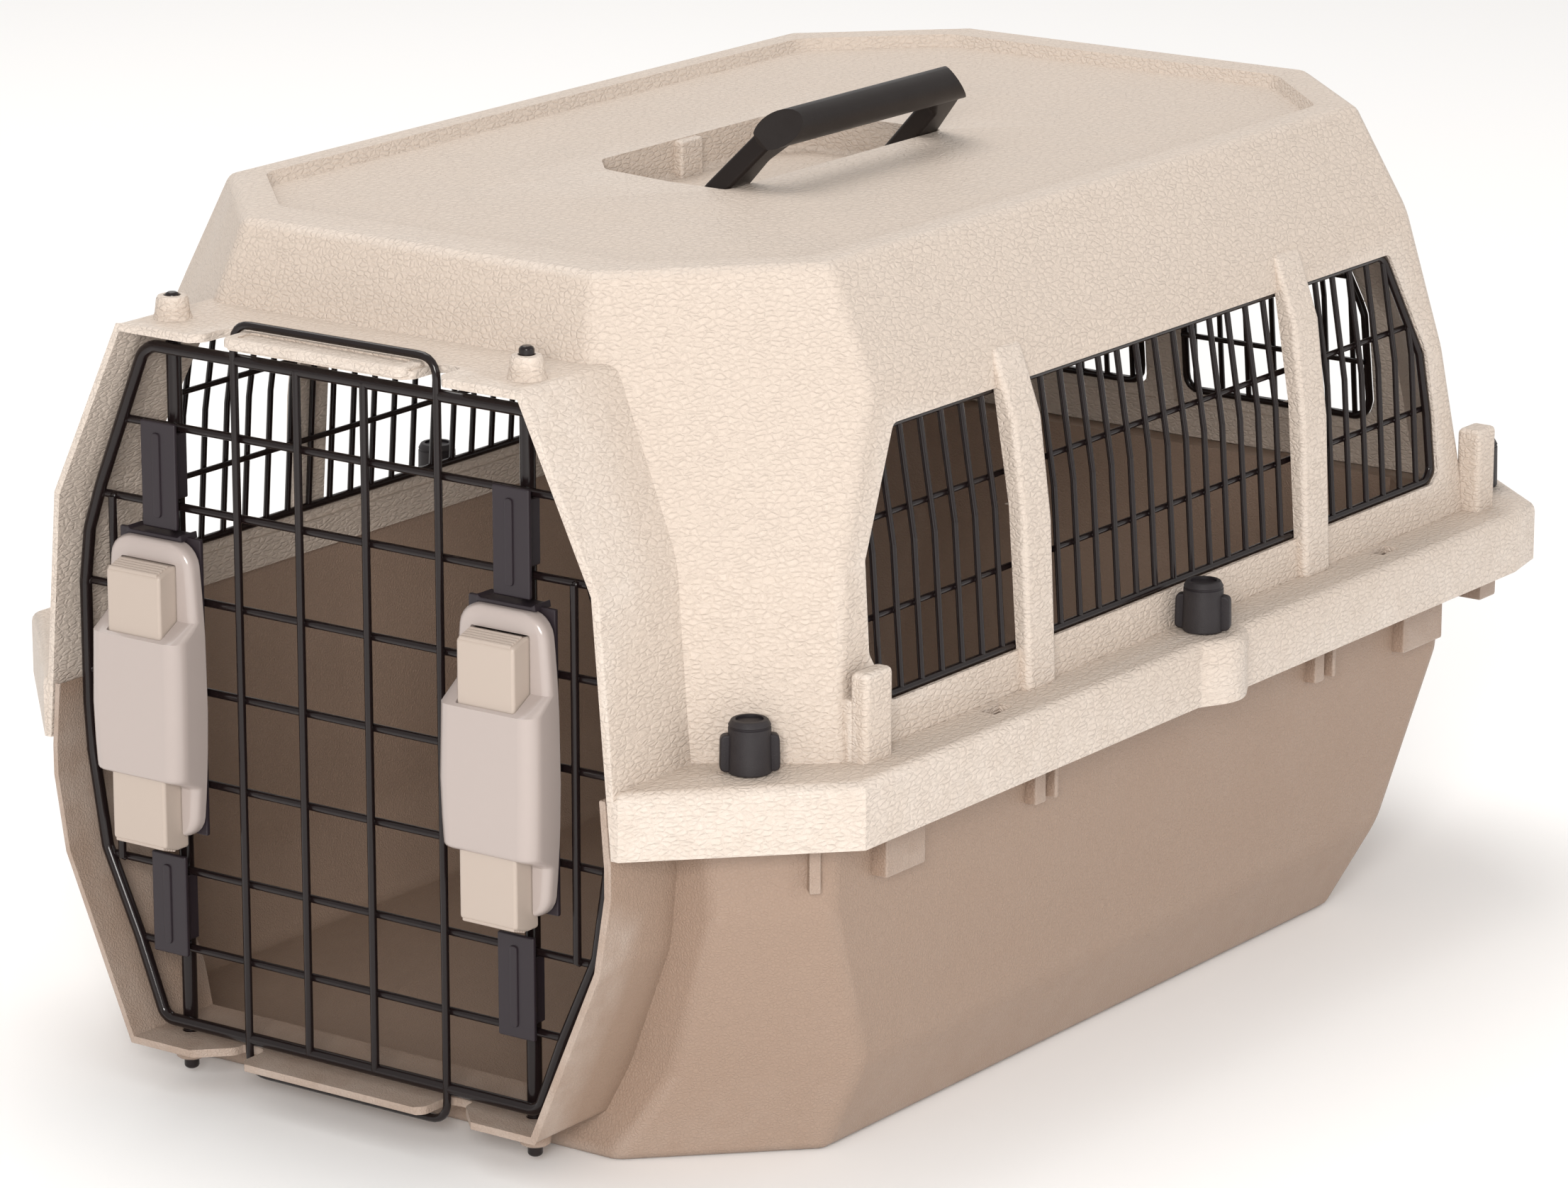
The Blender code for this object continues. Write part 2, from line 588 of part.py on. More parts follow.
def make_door(door):
    black = finish_material("black_wire", BLACK_WIRE, 0.3)
    frame_top, frame_bottom = DOOR_EDGE[0][1], DOOR_EDGE[-1][1]
    half = LATTICE_WIRE / 2
    outside, inside = LOOP_COLUMN + half, LOOP_COLUMN - half
    top_loop = [(-outside, frame_top), (-outside, LOOP_TOP - 3), (-inside, LOOP_TOP), (inside, LOOP_TOP),
                (outside, LOOP_TOP - 3), (outside, frame_top)]
    bottom_loop = [(outside, frame_bottom), (outside, LOOP_BOTTOM), (-outside, LOOP_BOTTOM),
                   (-outside, frame_bottom)]
    left = [(-x, z) for x, z in reversed(DOOR_EDGE)]
    frame = list(reversed(left + DOOR_EDGE))
    outline = list(reversed(left + top_loop + DOOR_EDGE + bottom_loop))
    fence = inset(frame, FRAME_WIRE)
    holes = []
    rows = [0.0] + DOOR_ROWS + [300.0]
    for z0, z1 in zip(rows, rows[1:]):
        columns = [-140.0] + DOOR_COLUMNS + [140.0]
        if DOOR_ROWS[1] <= z0 and z1 <= DOOR_ROWS[5]:
            columns = [-140.0, -SHORT_COLUMN] + DOOR_COLUMNS + [SHORT_COLUMN, 140.0]
        holes += wire_cells(columns, [z0, z1], LATTICE_WIRE, fence)
    holes.append([(-inside, frame_top), (inside, frame_top), (inside, LOOP_TOP - 3), (-inside, LOOP_TOP - 3)])
    holes.append([(-inside, LOOP_BOTTOM + 3), (inside, LOOP_BOTTOM + 3), (inside, frame_bottom),
                  (-inside, frame_bottom)])
    mesh = perforated_plate(outline, holes, DOOR_FRONT, DOOR_BACK, "Y")
    Body("door_lattice", mesh, black, door, HINGE)


def make_rod_guide(name, x, low, high, wall_low, wall_high, door):
    """A pressed channel that holds a rod behind the wires: face in front, two cheeks, bridge behind."""
    black = finish_material("black_plastic", BLACK_PLASTIC, 0.45)
    face, outer, inner = GUIDE_HALF_WIDTH, GUIDE_CHEEK_HALF, GUIDE_INNER_HALF
    guide = Body(name, box(x - face, x + face, COVER_BACK + 0.4, PLATE_BACK, low, high), black, door, HINGE)
    guide.join(box(x - outer, x + outer, PLATE_BACK - 0.85, GUIDE_BACK, wall_low, wall_high))
    guide.cut(box(x - inner, x + inner, PLATE_BACK, 21.0, wall_low - 2, wall_high + 2))


def make_latch(side, x, door):
    grey = finish_material("cover_plastic", COVER_GREY, 0.35)
    black = finish_material("black_plastic", BLACK_PLASTIC, 0.45)
    steel = finish_material("spring_steel", STEEL, 0.3, 1.0)
    half = COVER_HALF_WIDTH
    channel = SLIDER_HALF_WIDTH + 0.4

    slab = box(x - half, x + half, COVER_FRONT, COVER_BACK, *COVER_SPAN)
    cover = Body(f"latch_cover_{side}", slab, grey, door, HINGE)
    cover.join(prism([(x + a, y) for a, y in BULGE_SECTION], *BULGE_SPAN))
    cover.cut(*[box(x - channel, x + channel, SLIDER_FRONT - 0.4, 12, low, high) for low, high in CHANNELS])

    half -= 0.5
    slab = box(x - half, x + half, COVER_BACK + GAP, PLATE_BACK, *PLATE_SPAN)
    plate = Body(f"latch_plate_{side}", slab, black, door, HINGE)
    slot = FOOT_HALF_WIDTH + 0.7
    plate.cut(*[box(x - slot, x + slot, 5, 12, low, high) for low, high in PLATE_SLOTS])

    for level, sign in (("upper", 1), ("lower", -1)):
        slide = add_empty(f"slide_{level}_{side}", (0, 0, 0), door)
        slide.location = (Vector((x, ROD_Y, LATCH_MIDDLE)) - Vector(HINGE)) * MM
        moving = {"parent": slide, "base": (x, ROD_Y, LATCH_MIDDLE)}
        make_slider(side, level, sign, x, moving)
        make_rod(side, level, sign, x, moving)
        low, high = sorted(LATCH_MIDDLE + sign * end for end in SPRING_SPAN)
        coil = cone(x, SPRING_Y, SPRING_RADIUS, SPRING_RADIUS, low, high, 12)
        Body(f"latch_spring_{level}_{side}", coil, steel, door, HINGE).shade_round()


def make_slider(side, level, sign, x, moving):
    beige = finish_material("slider_plastic", SLIDER_BEIGE, 0.45)
    near, far = LATCH_MIDDLE + sign * SLIDER_NEAR, LATCH_MIDDLE + sign * SLIDER_FAR
    half = SLIDER_HALF_WIDTH
    profile = [(SLIDER_FRONT, near), (SLIDER_FRONT, far - sign * SLIDER_SLOPE), (-0.5, far),
               (SLIDER_BACK, far), (SLIDER_BACK, near)]
    slider = Slide(f"latch_slider_{level}_{side}", prism(profile, x - half, x + half, "X"), beige, moving)
    bore = SPRING_RADIUS + 0.4
    low, high = sorted((near - sign * 2, LATCH_MIDDLE + sign * (SPRING_SPAN[1] + 0.4)))
    slider.cut(cone(x, SPRING_Y, bore, bore, low, high, 12))
    slot = FOOT_HALF_WIDTH + 0.4
    low, high = sorted((LATCH_MIDDLE + sign * (ROD_FOOT[0] - 0.3), LATCH_MIDDLE + sign * (ROD_FOOT[1] + 0.3)))
    slider.cut(box(x - slot, x + slot, 1.3, 8, low, high))


def make_rod(side, level, sign, x, moving):
    black = finish_material("black_wire", BLACK_WIRE, 0.3)
    foot_low, foot_high = sorted(LATCH_MIDDLE + sign * end for end in ROD_FOOT)
    tip = UPPER_ROD_TOP[side] if sign > 0 else LOWER_ROD_BOTTOM
    low, high = sorted((LATCH_MIDDLE + sign * (ROD_FOOT[0] + 0.1), tip))
    bar = cone(x, ROD_Y, ROD_RADIUS, ROD_RADIUS, low, high, 12)
    rod = Slide(f"latch_rod_{level}_{side}", bar, black, moving)
    rod.join(box(x - FOOT_HALF_WIDTH, x + FOOT_HALF_WIDTH, 1.7, ROD_Y, foot_low, foot_high))
    rod.shade_round()


class Slide(Body):
    """A body carried by the empty of a latch slide."""

    def __init__(self, name, mesh, material, moving):
        self.base = Vector(moving["base"])
        super().__init__(name, mesh, material, moving["parent"], moving["base"])

    def new_object(self, name, mesh, parent):
        thing = super().new_object(name, mesh, parent)
        thing.location = (0, 0, 0)
        return thing


# ---------------------------------------------------------------- handle and clamps


def make_handle():
    dark = finish_material("handle_plastic", BLACK_PLASTIC, 0.35)
    near = [(u, -half) for u, half in HANDLE_OUTLINE]
    far = [(u, half) for u, half in reversed(HANDLE_OUTLINE)]
    inner_far = list(reversed([(u, half) for u, half in HANDLE_INNER]))
    inner_near = [(u, -half) for u, half in HANDLE_INNER]
    outline = near + far + inner_far + inner_near
    pivot = add_empty("handle_pivot", (HANDLE_AXIS[0], HANDLE_MIDDLE_Y, HANDLE_AXIS[1]), rim)
    pivot.rotation_euler = (0, -math.radians(HANDLE_LEAN), 0)
    handle = Leaning("handle", prism(outline, -ARM_HALF_THICKNESS, ARM_HALF_THICKNESS), dark, pivot)
    handle.join(prism(circle(GRIP_U, 0, GRIP_RADIUS, 16), -61.5, 61.5, "Y"))
    handle.cut(box(29, 42.5, -45, 45, -3.3, 3.3))
    for side in (-1, 1):
        handle.cut(prism(circle(0, 0, PIN_RADIUS + 0.3, 12), *sorted((side * 50, side * 75)), "Y"))
    handle.shade_round()
    steel = finish_material("pin_steel", STEEL, 0.3, 1.0)
    for name, side in (("front", -1), ("rear", 1)):
        ends = sorted((HANDLE_MIDDLE_Y + side * 60.4, HANDLE_MIDDLE_Y + side * 76.0))
        pin = Body(f"handle_pin_{name}", prism(circle(*HANDLE_AXIS, PIN_RADIUS, 12), *ends, "Y"), steel, rim)
        pin.shade_round()


class Leaning(Body):
    """A body built flat around the handle's hinge line and leant by its pivot."""

    def new_object(self, name, mesh, parent):
        thing = super().new_object(name, mesh, parent)
        thing.location = (0, 0, 0)
        return thing


def make_clamps():
    black = finish_material("black_plastic", BLACK_PLASTIC, 0.45)
    steel = finish_material("bolt_steel", STEEL, 0.3, 1.0)
    base = FLANGE_TOP + GAP
    top = base + NUT_HEIGHT
    for name, side, x, y, turn in clamp_places():
        hub = cone(x, y, NUT_RADIUS, NUT_RADIUS - 0.6, base, top)
        nut = Body(f"wing_nut_{name}_{side}", hub, black, rim, (x, y, base))
        along = Vector((math.cos(math.radians(turn)), math.sin(math.radians(turn)))) * WING_REACH
        across = Vector((-along.y, along.x)).normalized() * WING_HALF_THICKNESS
        middle = Vector((x, y))
        wings = [tuple(middle + a * along + b * across) for a, b in ((-1, -1), (1, -1), (1, 1), (-1, 1))]
        nut.join(prism(wings, base + 0.4, base + WING_HEIGHT))
        nut.cut(cone(x, y, BOLT_HOLE, BOLT_HOLE, base - 2, base + NUT_BORE_DEPTH, 12))
        nut.cut(cone(x, y, NUT_MOUTH_RADIUS, NUT_MOUTH_RADIUS, base + NUT_BORE_DEPTH - 1, top + 2))
        nut.shade_round()
        head = prism(circle(x, y, BOLT_HEAD_RADIUS, 6), BOLT_HEAD_BOTTOM, LOWER_FLANGE_BOTTOM - GAP)
        bolt = Body(f"bolt_{name}_{side}", head, steel, rim)
        bolt.join(cone(x, y, BOLT_RADIUS, BOLT_RADIUS, BOLT_HEAD_BOTTOM + 2, base + NUT_BORE_DEPTH - 1, 12))


clear_scene()
HINGE = (-LATCH_X, ROD_Y, LATCH_MIDDLE)
rim = add_empty("doorway_rim", (0, RIM_Y, 0))
make_upper_shell()
make_lower_shell()
make_grilles()
door_hinge = add_empty("door_hinge", HINGE, rim)
make_door(door_hinge)
for guide_side, guide_x in (("left", -LATCH_X), ("right", LATCH_X)):
    for guide_level, *guide_heights in ROD_GUIDES:
        make_rod_guide(f"rod_guide_{guide_level}_{guide_side}", guide_x, *guide_heights, door_hinge)
    make_latch(guide_side, guide_x, door_hinge)
make_handle()
make_clamps()
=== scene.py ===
"""Looks of the pet transport carrier: rounded shells, welded wires, latches, handle and clamps.

Lengths are millimetres behind the doorway's rim, as in the part's own source: X across, Y back, Z up.
The helpers turn them into metres in the frame that the CAD parts are loaded in.
"""

import math

import bmesh
import bpy
from mathutils import Matrix, Vector


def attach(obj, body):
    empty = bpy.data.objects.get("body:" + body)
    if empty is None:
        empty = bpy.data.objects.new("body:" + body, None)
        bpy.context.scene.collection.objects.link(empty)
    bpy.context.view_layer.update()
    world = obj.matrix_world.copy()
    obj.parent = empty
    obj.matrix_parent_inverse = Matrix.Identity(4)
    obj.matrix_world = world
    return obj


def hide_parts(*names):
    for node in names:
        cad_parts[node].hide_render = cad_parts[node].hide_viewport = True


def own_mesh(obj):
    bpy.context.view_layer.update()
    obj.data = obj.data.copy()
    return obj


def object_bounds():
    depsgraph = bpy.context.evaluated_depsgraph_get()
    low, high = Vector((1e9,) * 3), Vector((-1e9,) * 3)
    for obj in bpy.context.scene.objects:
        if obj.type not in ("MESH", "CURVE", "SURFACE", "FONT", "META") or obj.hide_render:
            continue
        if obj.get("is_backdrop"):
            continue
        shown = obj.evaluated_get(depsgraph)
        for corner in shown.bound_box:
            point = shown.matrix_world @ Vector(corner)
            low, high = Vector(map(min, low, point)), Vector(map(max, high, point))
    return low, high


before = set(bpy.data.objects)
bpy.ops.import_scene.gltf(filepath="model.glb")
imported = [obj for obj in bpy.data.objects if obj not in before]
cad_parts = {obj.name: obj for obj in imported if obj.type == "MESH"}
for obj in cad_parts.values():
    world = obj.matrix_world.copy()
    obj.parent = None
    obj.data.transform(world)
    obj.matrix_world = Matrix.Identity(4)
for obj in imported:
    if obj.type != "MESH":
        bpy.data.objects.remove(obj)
loaded_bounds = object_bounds()

MM = 0.001
RIM_Y = -282.5
WALL = 3.0

# A shell at four heights: height, front corner, half width, where the side starts and ends, rear corner.
UPPER_LEVELS = [
    (147.0, (127.0, 43.5), 170.5, 73.5, 506.0, (120.5, 556.0)),
    (217.5, (115.0, 38.5), 165.5, 82.0, 491.5, (109.0, 548.0)),
    (274.0, (86.0, 41.7), 156.0, 112.0, 478.0, (100.0, 534.0)),
    (314.3, (78.5, 56.1), 135.7, 115.7, 471.1, (80.9, 524.1)),
]
LOWER_LEVELS = [
    (0.0, (99.5, 36.5), 153.0, 89.5, 432.5, (99.5, 486.0)),
    (35.0, (120.6, 44.6), 168.0, 92.0, 447.0, (110.0, 505.0)),
    (97.0, (141.5, 39.5), 171.0, 69.5, 483.5, (113.5, 541.0)),
    (146.7, (141.0, 35.0), 173.0, 67.0, 487.5, (115.5, 545.0)),
]
CEILING_Z = 306.5
PANEL_Z = 309.5
PANEL_EDGE = [(123, 122.6), (123, 460), (78, 505), (-78, 505), (-123, 460), (-123, 122.6), (-80, 79.6),
              (80, 79.6)]
ARCH_UPPER = [(-130.1, 125.9), (130.1, 125.9), (122.5, 218.4), (90.8, 284.7), (-90.8, 284.7), (-122.5, 218.4)]
ARCH_LOWER = [(-92.9, 15.7), (92.9, 15.7), (122.0, 83.5), (126.7, 112.0), (126.7, 123.0), (124.8, 146.7),
              (-124.8, 146.7), (-126.7, 123.0), (-126.7, 112.0), (-122.0, 83.5)]
SILL_Z = 18.7
FLANGE_TOP = 150.0
FLANGE_JOINT = 147.0
SKIRT_BOTTOM = 125.9
FLANGE_SIDE = 190.5
LOWER_FLANGE = (143.5, 146.65)
SEAM = 0.35
ARCH_UPPER_DEPTH = 60
ARCH_LOWER_DEPTH = 52
FLANGE_RIGHT = [(130.1, 0), (FLANGE_SIDE, 60.5)]
FLANGE_REAR = [(FLANGE_SIDE, 510), (186, 533), (153.3, 560.6), (135, 574.5)]
# Ribs under the flange: front and rear, how far out, and the lower end.
UNDER_FLANGE = [(92, 116, 177.5, 105), (188, 195, 176, 107), (198.6, 201, 177.5, 107.5), (382, 389, 176, 107),
                (392.6, 395, 177.5, 107.5), (448, 478, 176.5, 104)]
# Blocks on the flange: inner and outer side, front and rear, top, and how far the edges are rounded.
FLANGE_BLOCKS = [(171, 178.5, 78, 94.5, 182, 2.2), (162, 172.5, 77.7, 92.0, 172, 2.0),
                 (166.9, 177.2, 502, 515.8, 183, 2.2)]
FLANGE_SLOTS = (155.0, 424.0)
CORNER_FIN = [(163.4, 63.4), (167.9, 58.9), (170.9, 61.9), (166.4, 66.4)]
LEDGE_TAB = [(-40.5, -2), (40.5, -2), (40.5, 13), (-40.5, 13)]
LEDGE_SUNK = [(-36, 1), (36, 1), (36, 10), (-36, 10)]
# Bosses that take the latch rods: radius and height.
UPPER_BOSS = [(8.2, 283.5), (7.0, 284.9), (6.3, 287), (5.8, 291.5), (5.2, 292.7), (4.4, 293)]
LOWER_BOSS = [(4.6, 8.5), (5.5, 9.2), (6.2, 16.5)]
BULGE_Y = 291.5
BULGE_REACH = 6.9
BULGE_HALF = 17.5
BULGE_STEPS = 8

SIDE_WINDOW = [(106.4, 164.8), (479.5, 164.8), (484.3, 168.7), (483.1, 192), (479.3, 217), (460.3, 259.5),
               (122.3, 259.5), (95.3, 217), (94.6, 184)]
WINDOW_POSTS = [(186.5, 204.5), (377.3, 395.3)]
WINDOW_POST_PROFILE = [(145.0, 149.0), (174.0, 149.0), (171.2, 210.0), (166.3, 247.7), (156.8, 273.8),
                       (145.0, 273.5)]
LIP = 1.4
FRAME_RADIUS = 1.6
WINDOW_WIRE = 1.2
BEND_Z = 217.5
REAR_WINDOW = [(10, 167), (93, 167), (98, 169.5), (100, 175), (99, 212), (90.5, 236), (78, 260), (10, 260)]
GRILLE_PITCH = 12.7
SIDE_ROWS = (194.0, 228.0)
REAR_ROWS = (192.0, 228.0)
SIDE_FIRST_WIRE = 91.5
REAR_FIRST_WIRE = 3.0

DOOR_EDGE = [(84.5, 277.3), (90.5, 273.5), (112, 222), (118.5, 204), (121.2, 183), (121.2, 138), (120, 120),
             (114.2, 84), (99.5, 52), (88.5, 24), (84, 21.5)]
DOOR_ROWS = [52.3, 81.8, 116.2, 150.5, 183.7, 217.2, 246.3]
INNER_COLUMNS = [-17.2, 13.0]
LOOP_COLUMN = 45.5
SHORT_COLUMN = 104.0
LOOP_ENDS = (11.5, 288.5)
DOOR_FRAME_Y = 12.0
DOOR_FRAME_RADIUS = 2.3
DOOR_WIRE_RADIUS = 1.5
LATCH_X = 79.3
ROD_Y = 17.8
LATCH_MIDDLE = 146.5
ROD_RADIUS = 2.75
ROD_HOLE = 3.2
COVER_SPAN = (98.0, 207.0)
COVER_CORNER = 8.0
COVER_CHANNELS = ((150.2, 199.5), (90, 142.8))
SLIDER_ENDS = (21.5, 52.5)
SLIDER_HALF = 12.5
SLIDER_SLOPE = 2.3
SPRING_Y = -2.5
SPRING_RADIUS = 2.3
SPRING_SPAN = (4.1, 41.2)
# Rod guides: level, height of the face, height of the sides behind it.
ROD_GUIDES = (("upper", 209.6, 248.6, 219.8, 243.8), ("lower", 50.5, 88.4, 55.0, 79.4))

HANDLE_AXIS = (7.0, 285.0, 302.0)
HANDLE_LEAN = 48.0
GRIP_U = 40.0
GRIP_RADIUS = 6.8
# The handle's bow and the cut that slants its elbows, flat: along the arm, along the grip.
HANDLE_BOW = [(-4, -69.9), (8, -69.9), (40, -62.2), (45.5, -58), (46.3, -52), (46.3, 52), (45.5, 58),
              (40, 62.2), (8, 69.9), (-4, 69.9), (-4, 53.5), (26, 53.5), (33, 47), (33, -47),
              (26, -53.5), (-4, -53.5)]
ELBOW_FACET = [(50, 46.4), (32, 67.2), (32, 80), (60, 80), (60, 46.4)]
PIN_HOLE = 2.3
RECESS_FLOOR = 295.0
RECESS_EDGE = [(-52.3, 52), (-40, 66), (-8, 70.4), (19.6, 70.4)]
# Wing nuts and bolts: name, place across and behind the rim, direction of the wings in degrees.
CLAMPS = [("front", 151.0, 47.5, 40.0), ("middle", 181.0, 291.5, 20.0), ("rear", 155.5, 540.5, 140.0)]
BOLT_HOLE = 2.85
POCKET_BOTTOM = {"front": 128.0, "middle": 128.0, "rear": 104.0}
POCKET_HOLLOW = 4.9
NUT_CLEARANCE = 11.1
# The nut's hub: radius and height above its seat.
NUT_HUB = [(7.4, 0), (7.75, 0.5), (7.45, 16.0), (7.15, 16.3), (7.15, 16.7), (7.4, 17.0), (6.5, 18.7),
           (6.0, 19.0)]
NUT_WINGS = [(-10.5, 0.4), (10.5, 0.4), (10.2, 13.7), (-10.2, 13.7)]
SIDES = (("left", -1), ("right", 1))


# ---------------------------------------------------------------- mesh helpers


def face_outward(mesh):
    bmesh.ops.recalc_face_normals(mesh, faces=mesh.faces)
    if mesh.calc_volume(signed=True) < 0:
        bmesh.ops.reverse_faces(mesh, faces=mesh.faces)
    return mesh


def loft(rings):
    """A closed solid through rings of points."""
    mesh = bmesh.new()
    rows = [[mesh.verts.new(point) for point in ring] for ring in rings]
    count = len(rings[0])
    for low, high in zip(rows, rows[1:]):
        for i in range(count):
            j = (i + 1) % count
            mesh.faces.new((low[i], low[j], high[j], high[i]))
    mesh.faces.new(reversed(rows[0]))
    mesh.faces.new(rows[-1])
    return face_outward(mesh)


def on_axis(axis, along, a, b):
    return {"X": (along, a, b), "Y": (a, along, b), "Z": (a, b, along)}[axis]


def prism(outline, low, high, axis="Z"):
    return loft([[on_axis(axis, along, a, b) for a, b in outline] for along in (low, high)])


def box(x0, x1, y0, y1, z0, z1):
    x0, x1 = sorted((x0, x1))
    return prism([(x0, y0), (x1, y0), (x1, y1), (x0, y1)], z0, z1)


def circle(a, b, radius, sides=24):
    turns = [math.tau * i / sides for i in range(sides)]
    return [(a + radius * math.cos(turn), b + radius * math.sin(turn)) for turn in turns]


def turned(x, y, profile, sides=28):
    """A solid of revolution about a vertical line, from (radius, height) pairs."""
    return loft([[(a, b, z) for a, b in circle(x, y, radius, sides)] for radius, z in profile])


def soften(mesh, width, segments=3, angle=18.0, pick=None):
    """Rounds the edges that turn by more than an angle."""
    mesh.normal_update()
    sharp = math.radians(angle)
    edges = [edge for edge in mesh.edges
             if edge.is_manifold and edge.calc_face_angle(0) > sharp and (pick is None or pick(edge))]
    bmesh.ops.bevel(mesh, geom=edges, offset=width, segments=segments, profile=0.5, affect="EDGES",
                    clamp_overlap=True)
    return mesh


def above(height):
    return lambda edge: min(vertex.co.z for vertex in edge.verts) > height


def at_rim(edge):
    return max(vertex.co.y for vertex in edge.verts) < 1


def along_neck(edge):
    return abs(edge.verts[0].co.y - edge.verts[1].co.y) > 20


def rounded(outline, radius, steps=4, closed=True):
    """A line of points with each corner turned into a short arc. Works in two or three dimensions."""
    points = [Vector(point) for point in outline]
    result = []
    for i, here in enumerate(points):
        if not closed and i in (0, len(points) - 1):
            result.append(here)
            continue
        before, after = points[i - 1], points[(i + 1) % len(points)]
        back, ahead = before - here, after - here
        turn = math.pi - back.angle(ahead)
        reach = min(radius * math.tan(turn / 2), 0.45 * back.length, 0.45 * ahead.length)
        if turn < math.radians(4):
            result.append(here)
            continue
        start, end = here + back.normalized() * reach, here + ahead.normalized() * reach
        for k in range(steps + 1):
            t = k / steps
            result.append(start * (1 - t) ** 2 + here * 2 * t * (1 - t) + end * t ** 2)
    return result


def tube(mesh, path, radius, sides=10, closed=False):
    """Adds a round wire along a line of points."""
    points = [Vector(point) for point in path]
    count = len(points)
    normal = None
    rows = []
    for i, here in enumerate(points):
        before = points[i - 1] if closed or i else here
        after = points[(i + 1) % count] if closed or i < count - 1 else here
        along = (after - before).normalized()
        if normal is None:
            normal = along.orthogonal().normalized()
        normal = (normal - along * normal.dot(along)).normalized()
        across = along.cross(normal)
        rows.append([mesh.verts.new(here + (normal * math.cos(t) + across * math.sin(t)) * radius)
                     for t in (math.tau * k / sides for k in range(sides))])
    pairs = list(zip(rows, rows[1:] + rows[:1])) if closed else list(zip(rows, rows[1:]))
    shift = 0
    for index, (low, high) in enumerate(pairs):
        if closed and index == len(pairs) - 1:
            shift = min(range(sides), key=lambda s: (low[0].co - high[s].co).length)
        for k in range(sides):
            j = (k + 1) % sides
            mesh.faces.new((low[k], low[j], high[(j + shift) % sides], high[(k + shift) % sides]))
    if not closed:
        mesh.faces.new(reversed(rows[0]))
        mesh.faces.new(rows[-1])


def blob(mesh, place, radius):
    """A weld bead."""
    made = bmesh.ops.create_icosphere(mesh, subdivisions=1, radius=radius)
    bmesh.ops.translate(mesh, verts=made["verts"], vec=place)


def span(outline, value, level=0):
    """The lowest and highest place where an outline crosses a line, in its other direction."""
    found = []
    other = 1 - level
    for a, b in zip(outline, outline[1:] + outline[:1]):
        if (a[level] - value) * (b[level] - value) < 0:
            t = (value - a[level]) / (b[level] - a[level])
            found.append(a[other] + (b[other] - a[other]) * t)
    return min(found), max(found)


def level_ring(levels, z):
    """The eight corners of a shell at a height, counter-clockwise from the front right one."""
    for low, high in zip(levels, levels[1:]):
        if z <= high[0] or high is levels[-1]:
            break
    t = (z - low[0]) / (high[0] - low[0])

    def between(a, b):
        return a + (b - a) * t

    front = (between(low[1][0], high[1][0]), between(low[1][1], high[1][1]))
    side_x, side_front, side_rear = (between(low[i], high[i]) for i in (2, 3, 4))
    rear = (between(low[5][0], high[5][0]), between(low[5][1], high[5][1]))
    right = [front, (side_x, side_front), (side_x, side_rear), rear]
    return right + [(-x, y) for x, y in reversed(right)]


def inset(outline, distance):
    """A counter-clockwise outline moved inwards by a distance."""
    moved = []
    count = len(outline)
    for i in range(count):
        before, here, after = (Vector(outline[(i + k) % count]) for k in (-1, 0, 1))
        first, second = (here - before).normalized(), (after - here).normalized()
        inward = (Vector((-first.y, first.x)) + Vector((-second.y, second.x))) / (1 + first.dot(second))
        moved.append(tuple(here + inward * distance))
    return moved


def shell_solid(levels, heights, distance=0.0):
    rings = []
    for z in heights:
        outline = inset(level_ring(levels, z), distance) if distance else level_ring(levels, z)
        rings.append([(x, y, z) for x, y in outline])
    return loft(rings)


def mirrored(points):
    """A counter-clockwise outline from its right half, listed from front to back."""
    return points + [(-x, y) for x, y in reversed(points)]


class Piece:
    """A shown piece built up from solids, placed in the loaded frame."""

    def __init__(self, name, mesh):
        self.thing = self.link(name, mesh)

    def link(self, name, mesh):
        bmesh.ops.translate(mesh, verts=mesh.verts, vec=(0, RIM_Y, 0))
        bmesh.ops.scale(mesh, verts=mesh.verts, vec=(MM, MM, MM))
        data = bpy.data.meshes.new(name)
        mesh.to_mesh(data)
        mesh.free()
        thing = bpy.data.objects.new(name, data)
        bpy.context.scene.collection.objects.link(thing)
        return thing

    def change(self, operation, meshes):
        for mesh in meshes:
            helper = self.link("helper", mesh)
            modifier = self.thing.modifiers.new("solid", "BOOLEAN")
            modifier.operation = operation
            modifier.solver = "EXACT"
            modifier.object = helper
            shape = self.thing.evaluated_get(bpy.context.evaluated_depsgraph_get())
            data = bpy.data.meshes.new_from_object(shape)
            self.thing.modifiers.clear()
            self.thing.data = data
            bpy.data.objects.remove(helper, do_unlink=True)
        return self

    def join(self, *meshes):
        return self.change("UNION", meshes)

    def cut(self, *meshes):
        return self.change("DIFFERENCE", meshes)

    def show(self, body, material, slot, *nodes, angle=32.0):
        """Shades the piece, hands it to its body and hides the CAD nodes that it stands for."""
        data = self.thing.data
        data.materials.clear()
        data.materials.append(material)
        data.shade_smooth()
        data.set_sharp_from_angle(angle=math.radians(angle))
        even = self.thing.modifiers.new("even shading", "WEIGHTED_NORMAL")
        even.keep_sharp = True
        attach(self.thing, body)
        if nodes:
            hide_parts(*nodes)
        return self.thing


# ---------------------------------------------------------------- materials


